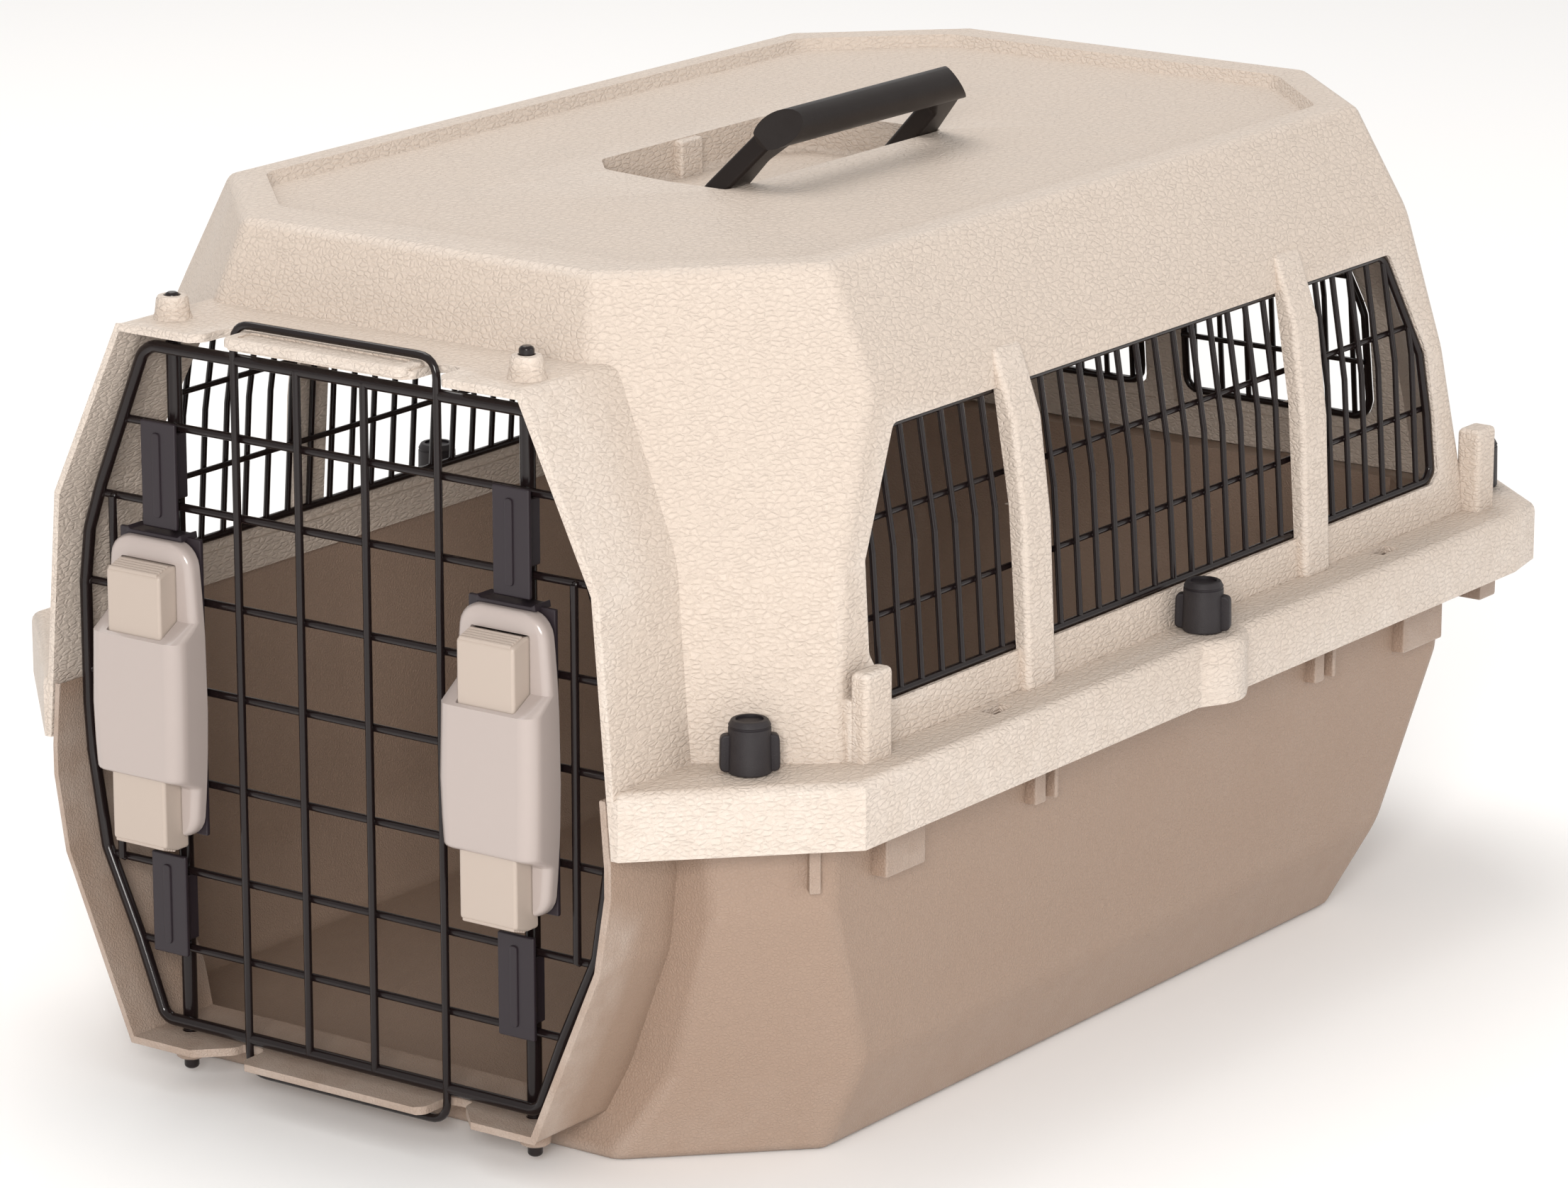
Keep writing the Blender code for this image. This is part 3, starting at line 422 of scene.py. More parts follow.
class Nodes:
    """A short way to write a material's node tree."""

    def __init__(self, name):
        self.material = bpy.data.materials.new(name)
        self.material.use_nodes = True
        self.tree = self.material.node_tree
        self.shader = self.tree.nodes["Principled BSDF"]
        self.place = self.add("ShaderNodeTexCoord").outputs["Object"]

    def add(self, kind, settings=None, **inputs):
        node = self.tree.nodes.new(kind)
        for key, value in (settings or {}).items():
            setattr(node, key, value)
        for key, value in inputs.items():
            self.feed(node.inputs[key.replace("_", " ")], value)
        return node

    def feed(self, socket, value):
        if isinstance(value, bpy.types.NodeSocket):
            self.tree.links.new(value, socket)
        else:
            socket.default_value = value

    def noise(self, scale, detail=2.0, roughness=0.5, place=None):
        node = self.add("ShaderNodeTexNoise", Vector=place or self.place, Scale=scale, Detail=detail,
                        Roughness=roughness)
        return node.outputs["Fac"]

    def ranged(self, value, low, high, to_low, to_high):
        node = self.add("ShaderNodeMapRange", Value=value, From_Min=low, From_Max=high, To_Min=to_low,
                        To_Max=to_high)
        return node.outputs["Result"]

    def mixed(self, factor, a, b):
        node = self.add("ShaderNodeMix", {"data_type": "RGBA"})
        self.feed(node.inputs["Factor"], factor)
        self.feed(node.inputs[6], a)
        self.feed(node.inputs[7], b)
        return node.outputs[2]

    def maths(self, operation, a, b):
        node = self.add("ShaderNodeMath", {"operation": operation})
        self.feed(node.inputs[0], a)
        self.feed(node.inputs[1], b)
        return node.outputs[0]

    def bump(self, height, depth):
        node = self.add("ShaderNodeBump", Height=height, Distance=depth)
        self.tree.links.new(node.outputs["Normal"], self.shader.inputs["Normal"])

    def worn(self, colour, amount):
        """The colour made lighter along the outer edges, unevenly."""
        edge = self.add("ShaderNodeNewGeometry").outputs["Pointiness"]
        rub = self.maths("MULTIPLY", self.ranged(edge, 0.515, 0.56, 0.0, amount), self.noise(90.0, 3.0))
        return self.mixed(rub, colour, (1.0, 0.97, 0.93, 1.0))


def shade(colour, factor):
    return (*[min(1.0, channel * factor) for channel in colour], 1.0)


def moulded(name, colour, cell, depth, roughness, stretch=(1, 1, 1), specular=0.4, wear=0.2):
    """Grained plastic: creased cells of a given size in millimetres, a soft mottle, and rubbed edges."""
    nodes = Nodes(name)
    drift = nodes.add("ShaderNodeTexNoise", Vector=nodes.place, Scale=260.0, Detail=2.0).outputs["Color"]
    pushed = nodes.add("ShaderNodeMix", {"data_type": "VECTOR"})
    nodes.feed(pushed.inputs["Factor"], 0.0016)
    nodes.feed(pushed.inputs[4], nodes.place)
    nodes.feed(pushed.inputs[5], drift)
    laid = nodes.add("ShaderNodeMapping", Vector=pushed.outputs[1], Scale=stretch).outputs["Vector"]
    cells = nodes.add("ShaderNodeTexVoronoi", {"feature": "DISTANCE_TO_EDGE"}, Vector=laid,
                      Scale=1000.0 / cell).outputs["Distance"]
    fine = nodes.noise(2600.0 / cell, 3.0, 0.6, place=laid)
    crease = nodes.ranged(cells, 0.0, 0.22, 0.0, 1.0)
    height = nodes.maths("ADD", nodes.maths("MULTIPLY", crease, 0.6), nodes.maths("MULTIPLY", fine, 0.8))
    nodes.bump(height, depth * MM)
    cloud = nodes.mixed(nodes.noise(9.0, 3.0), shade(colour, 0.965), shade(colour, 1.03))
    darker = nodes.mixed(0.5, cloud, shade(colour, 0.88))
    grained = nodes.mixed(nodes.maths("MULTIPLY", crease, 0.5), darker, cloud)
    nodes.feed(nodes.shader.inputs["Base Color"], nodes.worn(grained, wear))
    rough = nodes.ranged(nodes.noise(35.0, 4.0), 0.3, 0.7, roughness - 0.05, roughness + 0.07)
    nodes.feed(nodes.shader.inputs["Roughness"], rough)
    nodes.shader.inputs["Specular IOR Level"].default_value = specular
    return nodes.material


def glossy(name, colour, roughness, metallic=0.0, coat=0.0, pits=0.012, specular=0.5):
    """Smooth finish with faint orange peel and a slow drift in its colour and gloss."""
    nodes = Nodes(name)
    peel = nodes.noise(420.0, 2.0)
    drift = nodes.noise(14.0, 2.0, 0.5)
    nodes.bump(peel, pits * MM)
    cloud = nodes.mixed(drift, shade(colour, 0.98), shade(colour, 1.02))
    nodes.feed(nodes.shader.inputs["Base Color"], cloud)
    rough = nodes.ranged(drift, 0.35, 0.7, roughness - 0.03, roughness + 0.04)
    nodes.feed(nodes.shader.inputs["Roughness"], rough)
    nodes.shader.inputs["Specular IOR Level"].default_value = specular
    nodes.shader.inputs["Metallic"].default_value = metallic
    nodes.shader.inputs["Coat Weight"].default_value = coat
    nodes.shader.inputs["Coat Roughness"].default_value = 0.12
    return nodes.material


CREAM = moulded("cream plastic", (0.60, 0.51, 0.435), 2.6, 0.42, 0.46, (1.0, 0.6, 1.5))
TAUPE = moulded("taupe plastic", (0.33, 0.234, 0.176), 1.4, 0.18, 0.46)
WIRE = glossy("black enamel", (0.010, 0.006, 0.006), 0.2, specular=0.35)
CHANNEL = glossy("black pressed channel", (0.022, 0.016, 0.020), 0.36, specular=0.35)
COVER = glossy("grey latch plastic", (0.405, 0.345, 0.32), 0.24, coat=0.2)
SLIDER = glossy("beige slider plastic", (0.435, 0.362, 0.31), 0.34)
HANDLE = moulded("handle plastic", (0.011, 0.007, 0.006), 0.9, 0.03, 0.38, specular=0.25, wear=0.01)
NUT = moulded("nut plastic", (0.017, 0.0135, 0.0155), 0.8, 0.04, 0.5, specular=0.25, wear=0.02)
STEEL = glossy("bright steel", (0.55, 0.55, 0.56), 0.3, metallic=1.0)


# ---------------------------------------------------------------- shells


def flange_outline(distance=0.0):
    """The clamped flange seen from above, with a soft bulge around each middle wing nut."""
    bulge = []
    for k in range(-BULGE_STEPS, BULGE_STEPS + 1):
        y = BULGE_Y + BULGE_HALF * k / BULGE_STEPS
        swell = max(0.0, math.cos(math.pi / 2 * k / BULGE_STEPS)) ** 1.2
        bulge.append((FLANGE_SIDE + BULGE_REACH * swell, y))
    outline = mirrored(FLANGE_RIGHT + bulge + FLANGE_REAR)
    return inset(outline, distance) if distance else outline


def recess_outline(distance=0.0):
    near = [(x, HANDLE_AXIS[1] - half) for x, half in RECESS_EDGE]
    far = [(x, HANDLE_AXIS[1] + half) for x, half in reversed(RECESS_EDGE)]
    return inset(near + far, distance)


def notch(side, low, high, lip):
    """A cutter for the slot that a door loop passes through, with the lip's corner rounded away."""
    corner = rounded([(52.8 + lip + 3, -6), (52.8 + lip, 0), (52.8, lip), (52.8, 17), (41.8, 17), (41.8, 3),
                      (38.5, 0), (37, -6)], 2.5 + lip / 2, 5)
    outline = [(side * p.x, p.y) for p in corner]
    return prism(outline, low, high)


def clamp_places():
    for name, x, y, turn in CLAMPS:
        for side, sign in SIDES:
            yield name, side, sign * x, y, turn if sign > 0 else 180 - turn


def wall_at(z, along_side):
    ring = level_ring(UPPER_LEVELS, z)
    return ring[1][0] if along_side else ring[3][1]


def rabbet(window, side, along_side):
    """Cutters for the step inside a window where its wire frame lies, one for each slope of the wall."""
    wide = inset(window, -5.5)
    cutters = []
    for low, high in ((150.0, BEND_Z), (BEND_Z, 270.0)):
        outline = clipped(wide, low, high)
        foot, head = wall_at(low, along_side), wall_at(high, along_side)
        rings = []
        for depth in (25.0, LIP):
            ring = []
            for a, z in outline:
                reach = foot + (head - foot) * (z - low) / (high - low) - depth
                ring.append((side * reach, a, z) if along_side else (side * a, reach, z))
            rings.append(ring)
        cutters.append(loft(rings))
    return cutters


def clipped(outline, low, high):
    """The part of a convex outline between two heights."""
    for limit, sign in ((low, 1), (high, -1)):
        kept = []
        for (a, z), (b, y) in zip(outline, outline[1:] + outline[:1]):
            if sign * (z - limit) >= 0:
                kept.append((a, z))
            if (z - limit) * (y - limit) < 0:
                kept.append((a + (b - a) * (limit - z) / (y - z), limit))
        outline = kept
    return outline


def upper_shell():
    rim = soften(prism(flange_outline(), SKIRT_BOTTOM, FLANGE_TOP), 4.5, 4, 40, above(FLANGE_TOP - 1))
    shell = Piece("upper_shell_skin", rim)
    shell.cut(prism(flange_outline(WALL), 120, FLANGE_JOINT))
    neck = soften(prism(ARCH_UPPER, 0, ARCH_UPPER_DEPTH, "Y"), 1.0, 2, 30, at_rim)
    neck = soften(neck, 3.5, 3, 12, along_neck)
    dome = soften(shell_solid(UPPER_LEVELS, [level[0] for level in UPPER_LEVELS]), 3.4, 3, 5, above(146))
    shell.join(neck, dome)
    for _, side in SIDES:
        shell.cut(prism(rounded(SIDE_WINDOW, 4, 3), side * 100, side * 195, "X"))
        profile = [(side * x, z) for x, z in WINDOW_POST_PROFILE]
        for y0, y1 in WINDOW_POSTS:
            shell.join(soften(prism(profile, y0, y1, "Y"), 2.2, 3, 20))
        shell.join(*[soften(box(side * x0, side * x1, y0, y1, FLANGE_TOP - 2.5, top), radius, 3, 20)
                     for x0, x1, y0, y1, top, radius in FLANGE_BLOCKS])
    shell.cut(soften(shell_solid(UPPER_LEVELS, [140, 217.5, 274, CEILING_Z], WALL), 5.0, 3, 5, above(150)))
    tunnel = [(-127.75, 118), (127.75, 118)] + inset(ARCH_UPPER, WALL)[2:]
    shell.cut(prism(tunnel, -5, ARCH_UPPER_DEPTH + 2, "Y"), box(-135, 135, 34.5, 66, 120, FLANGE_JOINT))
    for _, side in SIDES:
        shell.cut(*rabbet(SIDE_WINDOW, side, along_side=True), *rabbet(REAR_WINDOW, side, along_side=False))
    for _, side in SIDES:
        window = [(side * x, z) for x, z in REAR_WINDOW]
        shell.cut(prism(rounded(window, 4, 3), 500, 570, "Y"))
        shell.join(turned(side * LATCH_X, ROD_Y, UPPER_BOSS))
        hole = turned(side * LATCH_X, ROD_Y, [(ROD_HOLE, 270), (ROD_HOLE, 296)], 20)
        shell.cut(hole, notch(side, 278, 292, 4.0))
        for y in FLANGE_SLOTS:
            shell.cut(box(side * 173.6, side * 180, y, y + 12.5, 145, 152))
    shell.join(soften(prism(rounded(LEDGE_TAB, 4, 4), 283, 286.4), 1.2, 3, 40, above(286)))
    shell.cut(prism(rounded(LEDGE_SUNK, 2, 3), 285.7, 290))

    shell.join(prism(recess_outline(-WALL), RECESS_FLOOR - WALL, 308))
    for _, side in SIDES:
        y = HANDLE_AXIS[1] + side * 72
        shell.join(box(-1, 15, *sorted((y, y + side * 6)), RECESS_FLOOR - WALL, 308))
    step_low = inset(PANEL_EDGE, 1.2)
    step_high = inset(PANEL_EDGE, -1.6)
    step = [[(x, y, z) for x, y in ring] for ring, z in ((step_low, PANEL_Z), (step_high, 316))]
    shell.cut(soften(loft(step), 5.0, 4, 20, lambda edge: abs(edge.verts[0].co.z - edge.verts[1].co.z) > 3))
    shell.cut(soften(prism(recess_outline(), RECESS_FLOOR, 320), 2.5, 3, 20))
    shell.join(soften(box(-54, -48.6, 279, 293, 294, 309.2), 1.2, 3, 30))
    for _, side in SIDES:
        y = HANDLE_AXIS[1] + side * 69
        axle = circle(HANDLE_AXIS[0], HANDLE_AXIS[2], PIN_HOLE, 16)
        shell.cut(prism(axle, *sorted((y, y + side * 7.5)), "Y"))
    for name, _, x, y, _ in clamp_places():
        shell.cut(turned(x, y, [(BOLT_HOLE, 140), (BOLT_HOLE, 153)], 16))
        if name != "rear":
            room = [(NUT_CLEARANCE, FLANGE_TOP + 0.1), (NUT_CLEARANCE, 170), (7, 175)]
            shell.cut(turned(x, y, room, 32))
    shell.show("root", CREAM, "upper_shell", "upper_shell")


def lower_shell():
    flange = prism(flange_outline(WALL + SEAM), *LOWER_FLANGE)
    shell = Piece("lower_shell_skin", flange)
    shell.cut(box(-130.6, 130.6, -5, 35.2, 140, 150))
    neck = soften(prism(ARCH_LOWER, 0, ARCH_LOWER_DEPTH, "Y"), 0.8, 2, 30, at_rim)
    neck = soften(neck, 3.0, 3, 10, along_neck)
    heights = [level[0] for level in LOWER_LEVELS[:-1]] + [LOWER_FLANGE[1]]
    shell.join(neck, soften(shell_solid(LOWER_LEVELS, heights), 4.0, 3, 4,
                            lambda edge: max(v.co.z for v in edge.verts) < 146.7
                            and abs(edge.verts[0].co.z + edge.verts[1].co.z) < 293))
    for name, _, x, y, _ in clamp_places():
        bottom = POCKET_BOTTOM[name]
        rings = [[(x - a, y - a, z), (x + a, y - a, z), (x + a, y + a, z), (x - a, y + a, z)]
                 for a, z in ((6.2, bottom), (6.8, 145.0))]
        shell.join(soften(loft(rings), 1.0, 2, 30))
    for _, side in SIDES:
        for y0, y1, reach, bottom in UNDER_FLANGE:
            shell.join(soften(box(side * 160, side * reach, y0, y1, bottom, 145), 0.9, 2, 30))
        fin = [(side * x, y) for x, y in CORNER_FIN]
        shell.join(soften(prism(fin, 106, 145), 0.8, 2, 30))
        shell.join(turned(side * LATCH_X, ROD_Y, LOWER_BOSS))
    shell.cut(soften(shell_solid(LOWER_LEVELS, [WALL, 35, 97, 150], WALL), 5.0, 3, 4,
                     lambda edge: max(v.co.z for v in edge.verts) < 149))
    tunnel = inset(ARCH_LOWER, 2.5)
    tunnel[5] = (tunnel[4][0] - 2.6, 155)
    tunnel[6] = (-tunnel[5][0], 155)
    shell.cut(prism([(x, max(z, SILL_Z)) for x, z in tunnel], -5, ARCH_LOWER_DEPTH + 2, "Y"))
    for _, side in SIDES:
        hole = turned(side * LATCH_X, ROD_Y, [(ROD_HOLE, 5), (ROD_HOLE, 22)], 20)
        shell.cut(hole, notch(side, 10, 22, 12.0))
    for name, _, x, y, _ in clamp_places():
        bottom = POCKET_BOTTOM[name]
        half = POCKET_HOLLOW
        shell.cut(box(x - half, x + half, y - half, y + half, bottom - 3, LOWER_FLANGE[0]),
                  turned(x, y, [(BOLT_HOLE, 140), (BOLT_HOLE, 150)], 16))
    shell.show("root", TAUPE, "lower_shell", "lower_shell")


# ---------------------------------------------------------------- wire windows


def follow_wall(points, wall):
    """A flat line of (across, height) points laid on a wall, with a bend where the wall bends."""
    path = []
    for i, (a, z) in enumerate(points):
        if i:
            a0, z0 = points[i - 1]
            if (z0 - BEND_Z) * (z - BEND_Z) < 0:
                t = (BEND_Z - z0) / (z - z0)
                path.append(wall(a0 + (a - a0) * t, BEND_Z))
        path.append(wall(a, z))
    return path


def grille(name, outline, rows, first, wall, node):
    """A window's frame wire, its uprights at an even pitch, and the cross wires welded behind them."""
    mesh = bmesh.new()
    ring = [tuple(p) for p in rounded(outline, 7, 4)]
    closed = follow_wall(ring + ring[:1], wall)[:-1]
    tube(mesh, closed, FRAME_RADIUS, 10, closed=True)
    left, right = min(a for a, _ in outline), max(a for a, _ in outline)
    columns = []
    a = first
    while a < right - 3:
        if a > left + 3:
            columns.append(a)
        a += GRILLE_PITCH
    for a in columns:
        low, high = span(outline, a)
        tube(mesh, rounded(follow_wall([(a, low), (a, high)], wall), 6, 3, closed=False), WINDOW_WIRE, 8)
    for z in rows:
        low, high = span(outline, z, 1)
        tube(mesh, [wall(low, z, 2.1), wall(high, z, 2.1)], WINDOW_WIRE, 8)
        for a in columns:
            bottom, top = span(outline, a)
            if bottom < z < top:
                blob(mesh, wall(a, z, 1.1), 1.25)
    Piece(name, mesh).show("root", WIRE, "grille_wire", node, angle=50)


def side_wall(sign):
    def wall(y, z, behind=0.0):
        return (sign * (wall_at(z, True) - LIP - FRAME_RADIUS - 0.2 - behind), y, z)
    return wall


def rear_wall(sign):
    def wall(x, z, behind=0.0):
        return (sign * x, wall_at(z, False) - LIP - FRAME_RADIUS - 0.2 - behind, z)
    return wall


def wire_windows():
    for side, sign in SIDES:
        grille(f"side_window_wires_{side}", inset(SIDE_WINDOW, 1.0), SIDE_ROWS, SIDE_FIRST_WIRE,
               side_wall(sign), f"side_grille_{side}")
        grille(f"rear_window_wires_{side}", inset(REAR_WINDOW, 1.0), REAR_ROWS, REAR_FIRST_WIRE,
               rear_wall(sign), f"rear_grille_{side}")


# ---------------------------------------------------------------- door


def door_wires():
    mesh = bmesh.new()
    edge = DOOR_EDGE + [(-x, z) for x, z in reversed(DOOR_EDGE)]
    middle = inset(list(reversed(edge)), DOOR_FRAME_RADIUS)
    border = [(p.x, DOOR_FRAME_Y, p.y) for p in rounded(middle, 9, 4)]
    tube(mesh, border, DOOR_FRAME_RADIUS, 14, closed=True)
    front, back = 10.9, 13.3
    low, high = LOOP_ENDS
    loop = [(-LOOP_COLUMN, high), (LOOP_COLUMN, high), (LOOP_COLUMN, low), (-LOOP_COLUMN, low)]
    tube(mesh, [(p.x, front, p.y) for p in rounded(loop, 8, 6)], DOOR_WIRE_RADIUS, 10, closed=True)
    columns = [(x, *span(middle, x)) for x in INNER_COLUMNS]
    columns += [(side * SHORT_COLUMN, DOOR_ROWS[1], DOOR_ROWS[5]) for _, side in SIDES]
    for x, low, high in columns:
        tube(mesh, [(x, front, low), (x, front, high)], DOOR_WIRE_RADIUS, 10)
    for z in DOOR_ROWS:
        low, high = span(middle, z, 1)
        tube(mesh, [(low, back, z), (high, back, z)], DOOR_WIRE_RADIUS, 10)
        for x in (low, high):
            blob(mesh, (x * 0.99, 12.6, z), 2.0)
        for x, bottom, top in columns + [(-LOOP_COLUMN, 20, 280), (LOOP_COLUMN, 20, 280)]:
            if bottom - 1 < z < top + 1:
                blob(mesh, (x, 12.1, z), 1.6)
    Piece("door_wires", mesh).show("door", WIRE, "door_wire", "door_lattice", angle=50)


def smooth_step(t):
    t = max(0.0, min(1.0, t))
    return t * t * (3 - 2 * t)


def cover_ring(x, z, half, front, radius, back=7.5):
    """A rounded section of a latch cover, from the back right corner round the front."""
    ring = []
    for cx, cy, r, start in ((half - 1, back - 1, 1.0, 90), (half - radius, front + radius, radius, 0),
                             (-half + radius, front + radius, radius, -90), (-half + 1, back - 1, 1.0, 180)):
        for k in range(7):
            turn = math.radians(start - 90 * k / 6)
            ring.append((x + cx + r * math.cos(turn), cy + r * math.sin(turn), z))
    return ring


def cover_solid(x):
    """The cover's plain ends, its raised middle, and the soft fillets between them."""
    (low, high), corner = COVER_SPAN, COVER_CORNER
    heights = [low + step for step in (0.02, 0.25, 0.9, 2, 3.6, 5.8, 8, 14)]
    heights += [117 + 0.8 * k for k in range(9)] + [126.0, 132.0, LATCH_MIDDLE]
    heights += [low + high - z for z in reversed(heights[:-1])]
    rings = []
    for z in heights:
        end = min(z - low, high - z)
        rise = smooth_step((z - 117) / 5.5) * smooth_step((178.5 - z) / 5.5)
        half = 18.3 + 3.2 * (1 - ((z - 152.5) / 54.5) ** 2)
        front = 1.3 - 10.4 * rise - 0.8 * rise * math.cos(math.pi * (z - LATCH_MIDDLE) / 60)
        if end < corner:
            half -= corner - math.sqrt(max(0.0, corner ** 2 - (corner - end) ** 2))
            front += 2.5 * (1 - math.sqrt(max(0.0, 1 - max(0.0, 1 - end / 2.5) ** 2)))
        rings.append(cover_ring(x, z, half, front, 3.2 + 3.2 * rise))
    return loft(rings)


def spring(name, x, low, high, node):
    mesh = bmesh.new()
    turns, steps = 11, 18
    path = []
    for k in range(turns * steps + 1):
        turn = math.tau * k / steps
        rise = (high - low - 1) * k / (turns * steps)
        path.append((x + SPRING_RADIUS * math.cos(turn), SPRING_Y + SPRING_RADIUS * math.sin(turn),
                     low + 0.5 + rise))
    tube(mesh, path, 0.45, 6)
    thing = Piece(name, mesh).show("door", STEEL, "spring", node, angle=60)
    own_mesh(thing)


def stretch(up, *ends):
    """Two distances from a latch's middle, as the lower and the higher of two heights."""
    return sorted(LATCH_MIDDLE + up * end for end in ends)


def latch(side, sign):
    x = sign * LATCH_X
    cover = Piece(f"latch_cover_shell_{side}", cover_solid(x))
    channel = SLIDER_HALF + 0.4
    cover.cut(*[soften(box(x - channel, x + channel, -7.9, 12, *ends), 0.8, 2, 30)
                for ends in COVER_CHANNELS])
    cover.show("door", COVER, "latch_cover", f"latch_cover_{side}")

    plate = Piece(f"latch_back_{side}", soften(box(x - 18.9, x + 18.9, 7.85, 9.65, 98.4, 208.2), 0.6, 2, 30))
    wings = prism([(x - 13, 207), (x - 12.6, 209.8), (x - 11, 208.6), (x + 11, 208.6), (x + 12.6, 209.8),
                   (x + 13, 207)], 4.5, 13.5, "Y")
    plate.join(soften(wings, 0.5, 2, 30))
    plate.cut(box(x - 3.4, x + 3.4, 0, 16, 151.5, 177), box(x - 3.4, x + 3.4, 5, 12, 117, 142))
    plate.cut(box(x - 3.3, x + 3.3, 11.5, 16, 205, 213))
    plate.show("door", CHANNEL, "latch_plate", f"latch_plate_{side}")

    for level, up in (("upper", 1), ("lower", -1)):
        body = f"latch_{level}_{side}"
        near, far = (LATCH_MIDDLE + up * end for end in SLIDER_ENDS)
        profile = [(-7.5, near), (-7.5, far - up * SLIDER_SLOPE), (-0.5, far), (5.6, far), (5.6, near)]
        block = soften(prism(profile, x - SLIDER_HALF, x + SLIDER_HALF, "X"), 1.3, 3, 25)
        slider = Piece(f"slider_{level}_{side}", block)
        for k in range(5):
            t = (k + 0.7) / 5.2
            place = (-7.5 + 7.0 * t, far - up * SLIDER_SLOPE * (1 - t) - up * 0.1)
            slider.join(soften(prism(circle(*place, 0.85, 10), x - 11.2, x + 11.2, "X"), 0.25, 2, 60))
        low, high = stretch(up, SLIDER_ENDS[0] - 2, 41.6)
        slider.cut(turned(x, SPRING_Y, [(3.2, low), (3.2, high)], 16))
        low, high = stretch(up, 22.6, 28.6)
        slider.cut(box(x - 3.1, x + 3.1, 1.3, 8, low, high))
        slider.show(body, SLIDER, "latch_slider", f"latch_slider_{level}_{side}")

        tip = (294.0 if sign < 0 else 296.0) if up > 0 else 4.2
        start = LATCH_MIDDLE + up * 23.0
        ends = [(2.1, start), (ROD_RADIUS, start + up * 0.7), (ROD_RADIUS, tip - up * 1.2),
                (2.4, tip - up * 0.5), (1.6, tip)]
        rod = Piece(f"rod_{level}_{side}", turned(x, ROD_Y, ends, 20))
        low, high = stretch(up, 22.9, 28.3)
        rod.join(soften(box(x - 2.7, x + 2.7, 1.7, ROD_Y, low, high), 0.6, 2, 30))
        rod.show(body, WIRE, "door_wire", f"latch_rod_{level}_{side}")

        low, high = stretch(up, *SPRING_SPAN)
        spring(f"spring_{level}_{side}", x, low, high,
               f"latch_spring_{level}_{side}")

    for level, low, high, wall_low, wall_high in ROD_GUIDES:
        guide = Piece(f"guide_{level}_{side}", soften(box(x - 8, x + 8, 7.7, 9.65, low, high), 0.7, 3, 30))
        guide.join(soften(box(x - 4.7, x + 4.7, 8.4, 18.4, wall_low, wall_high), 0.5, 3, 30))
        guide.cut(box(x - 3.5, x + 3.5, 9.65, 21.0, wall_low - 2, wall_high + 2))
        bead = rounded([(x - 2.2, low + 4), (x + 1.2, low + 4), (x + 1.2, high - 4), (x - 2.2, high - 4)],
                       1.5, 4)
        guide.join(soften(prism([(p.x, p.y) for p in bead], 6.9, 8.2, "Y"), 0.6, 2, 40))
        guide.show("door", CHANNEL, "black_channel", f"rod_guide_{level}_{side}")


# ---------------------------------------------------------------- handle and clamps


def leaning(mesh):
    """Leans a mesh built flat round the hinge line: along the arm, along the grip, thickness."""
    turn = Matrix.Translation(Vector(HANDLE_AXIS)) @ Matrix.Rotation(-math.radians(HANDLE_LEAN), 4, "Y")
    bmesh.ops.transform(mesh, matrix=turn, verts=mesh.verts)
    return mesh


def handle():
    bow = soften(prism([tuple(p) for p in rounded(HANDLE_BOW, 3, 3)], -4, 4), 1.6, 3, 40)
    grip = Piece("carrying_handle", leaning(bow))
    section = [(GRIP_U + a, b) for a, b in circle(0, 0, GRIP_RADIUS, 28)]
    grip.join(leaning(prism(section, -64, 64, "Y")))
    for _, side in SIDES:
        grip.cut(leaning(prism([(u, side * y) for u, y in ELBOW_FACET], -12, 12)))
    grip.cut(leaning(soften(box(28, 42.0, -45, 45, -3.2, 3.2), 1.0, 2, 30)))
    for _, side in SIDES:
        hole = prism(circle(0, 0, PIN_HOLE, 16), *sorted((side * 50, side * 75)), "Y")
        grip.cut(leaning(hole))
    grip.show("handle", HANDLE, "handle", "handle", angle=40)


def paint(node, material):
    thing = bpy.data.objects[node]
    for place in thing.material_slots:
        place.material = material


def wing_nut(name, side, x, y, turn):
    base = FLANGE_TOP + SEAM
    hub = turned(x, y, [(radius, base + rise) for radius, rise in NUT_HUB], 36)
    nut = Piece(f"clamp_nut_{name}_{side}", hub)
    wings = soften(prism([tuple(p) for p in rounded(NUT_WINGS, 2.4, 5)], -2.2, 2.2, "Y"), 0.8, 3, 40)
    place = Matrix.Translation((x, y, base)) @ Matrix.Rotation(math.radians(turn), 4, "Z")
    bmesh.ops.transform(wings, matrix=place, verts=wings.verts)
    nut.join(wings)
    nut.cut(turned(x, y, [(BOLT_HOLE, base - 2), (BOLT_HOLE, base + 11)], 16),
            turned(x, y, [(3.1, base + 9.5), (3.6, base + 10.2), (3.7, base + 18.0)], 10),
            turned(x, y, [(4.9, base + 18.1), (4.9, base + 19.6)], 28))
    nut.show(f"wing_nut_{name}_{side}", NUT, "wing_nut", f"wing_nut_{name}_{side}")


upper_shell()
lower_shell()
wire_windows()
door_wires()
for latch_side, latch_sign in SIDES:
    latch(latch_side, latch_sign)
handle()
for clamp in clamp_places():
    wing_nut(*clamp)
    paint(f"bolt_{clamp[0]}_{clamp[1]}", STEEL)
for pin in ("front", "rear"):
    paint(f"handle_pin_{pin}", STEEL)


# ---------------------------------------------------------------- studio


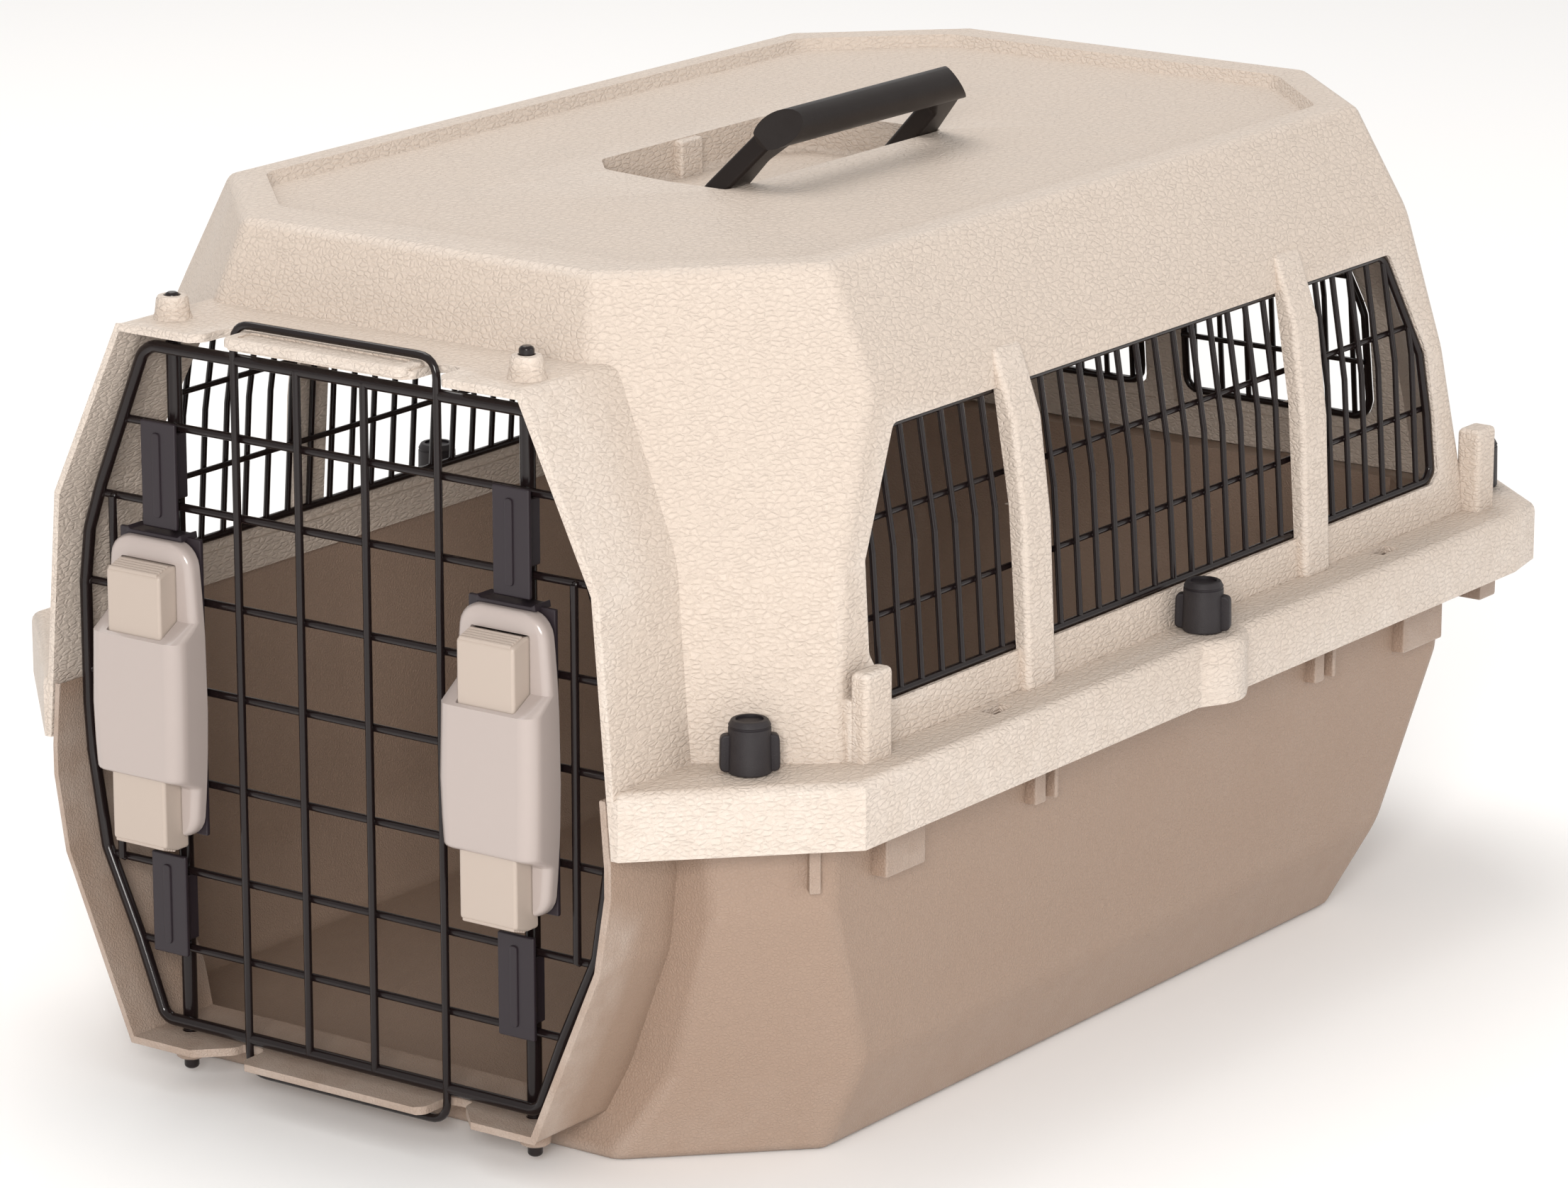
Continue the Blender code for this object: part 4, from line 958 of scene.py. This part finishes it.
# Lamps: name, place in metres, watts, width in metres.
LAMPS = (("key", (1.5, -2.5, 1.1), 60.0, 0.9), ("side", (2.6, 0.4, 0.8), 10.0, 1.2),
         ("top", (-0.9, 0.5, 2.5), 30.0, 1.8))
LAMP_TARGET = (0, 0, 0.15)
FLOOR_REACH = 12.0
CAMERA_PLACE = (1.3805, -1.9282, 0.7859)
CAMERA_TARGET = (0.05509, -0.08121, 0.16392)
CAMERA_LENS = 146.53
CAMERA_SENSOR = 36.0


def studio():
    floor = bpy.data.meshes.new("floor")
    reach = FLOOR_REACH
    floor.from_pydata([(-reach, -reach, 0), (reach, -reach, 0), (reach, reach, 0), (-reach, reach, 0)], [],
                      [(0, 1, 2, 3)])
    ground = bpy.data.objects.new("floor", floor)
    bpy.context.scene.collection.objects.link(ground)
    pale = bpy.data.materials.new("pale floor")
    pale.use_nodes = True
    pale.node_tree.nodes["Principled BSDF"].inputs["Base Color"].default_value = (0.97, 0.968, 0.965, 1)
    pale.node_tree.nodes["Principled BSDF"].inputs["Roughness"].default_value = 0.9
    floor.materials.append(pale)
    ground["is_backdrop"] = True

    world = bpy.data.worlds.new("studio")
    world.use_nodes = True
    world.node_tree.nodes["Background"].inputs["Color"].default_value = (1.0, 0.985, 0.97, 1)
    world.node_tree.nodes["Background"].inputs["Strength"].default_value = 0.68
    bpy.context.scene.world = world

    for name, place, power, size in LAMPS:
        lamp = bpy.data.lights.new(name, "AREA")
        lamp.energy = power
        lamp.size = size
        lamp.color = (1.0, 0.975, 0.95)
        stand = bpy.data.objects.new(name, lamp)
        stand.location = place
        stand.rotation_euler = (Vector(LAMP_TARGET) - Vector(place)).to_track_quat("-Z", "Y").to_euler()
        bpy.context.scene.collection.objects.link(stand)


def camera():
    lens = bpy.data.cameras.new("camera")
    lens.lens, lens.sensor_width = CAMERA_LENS, CAMERA_SENSOR
    eye = bpy.data.objects.new("camera", lens)
    eye.location = CAMERA_PLACE
    eye.rotation_euler = (Vector(CAMERA_TARGET) - eye.location).to_track_quat("-Z", "Y").to_euler()
    bpy.context.scene.collection.objects.link(eye)
    bpy.context.scene.camera = eye


studio()
camera()
bpy.context.scene.view_settings.view_transform = "Standard"

[[list(corner) for corner in pair] for pair in (loaded_bounds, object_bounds())]
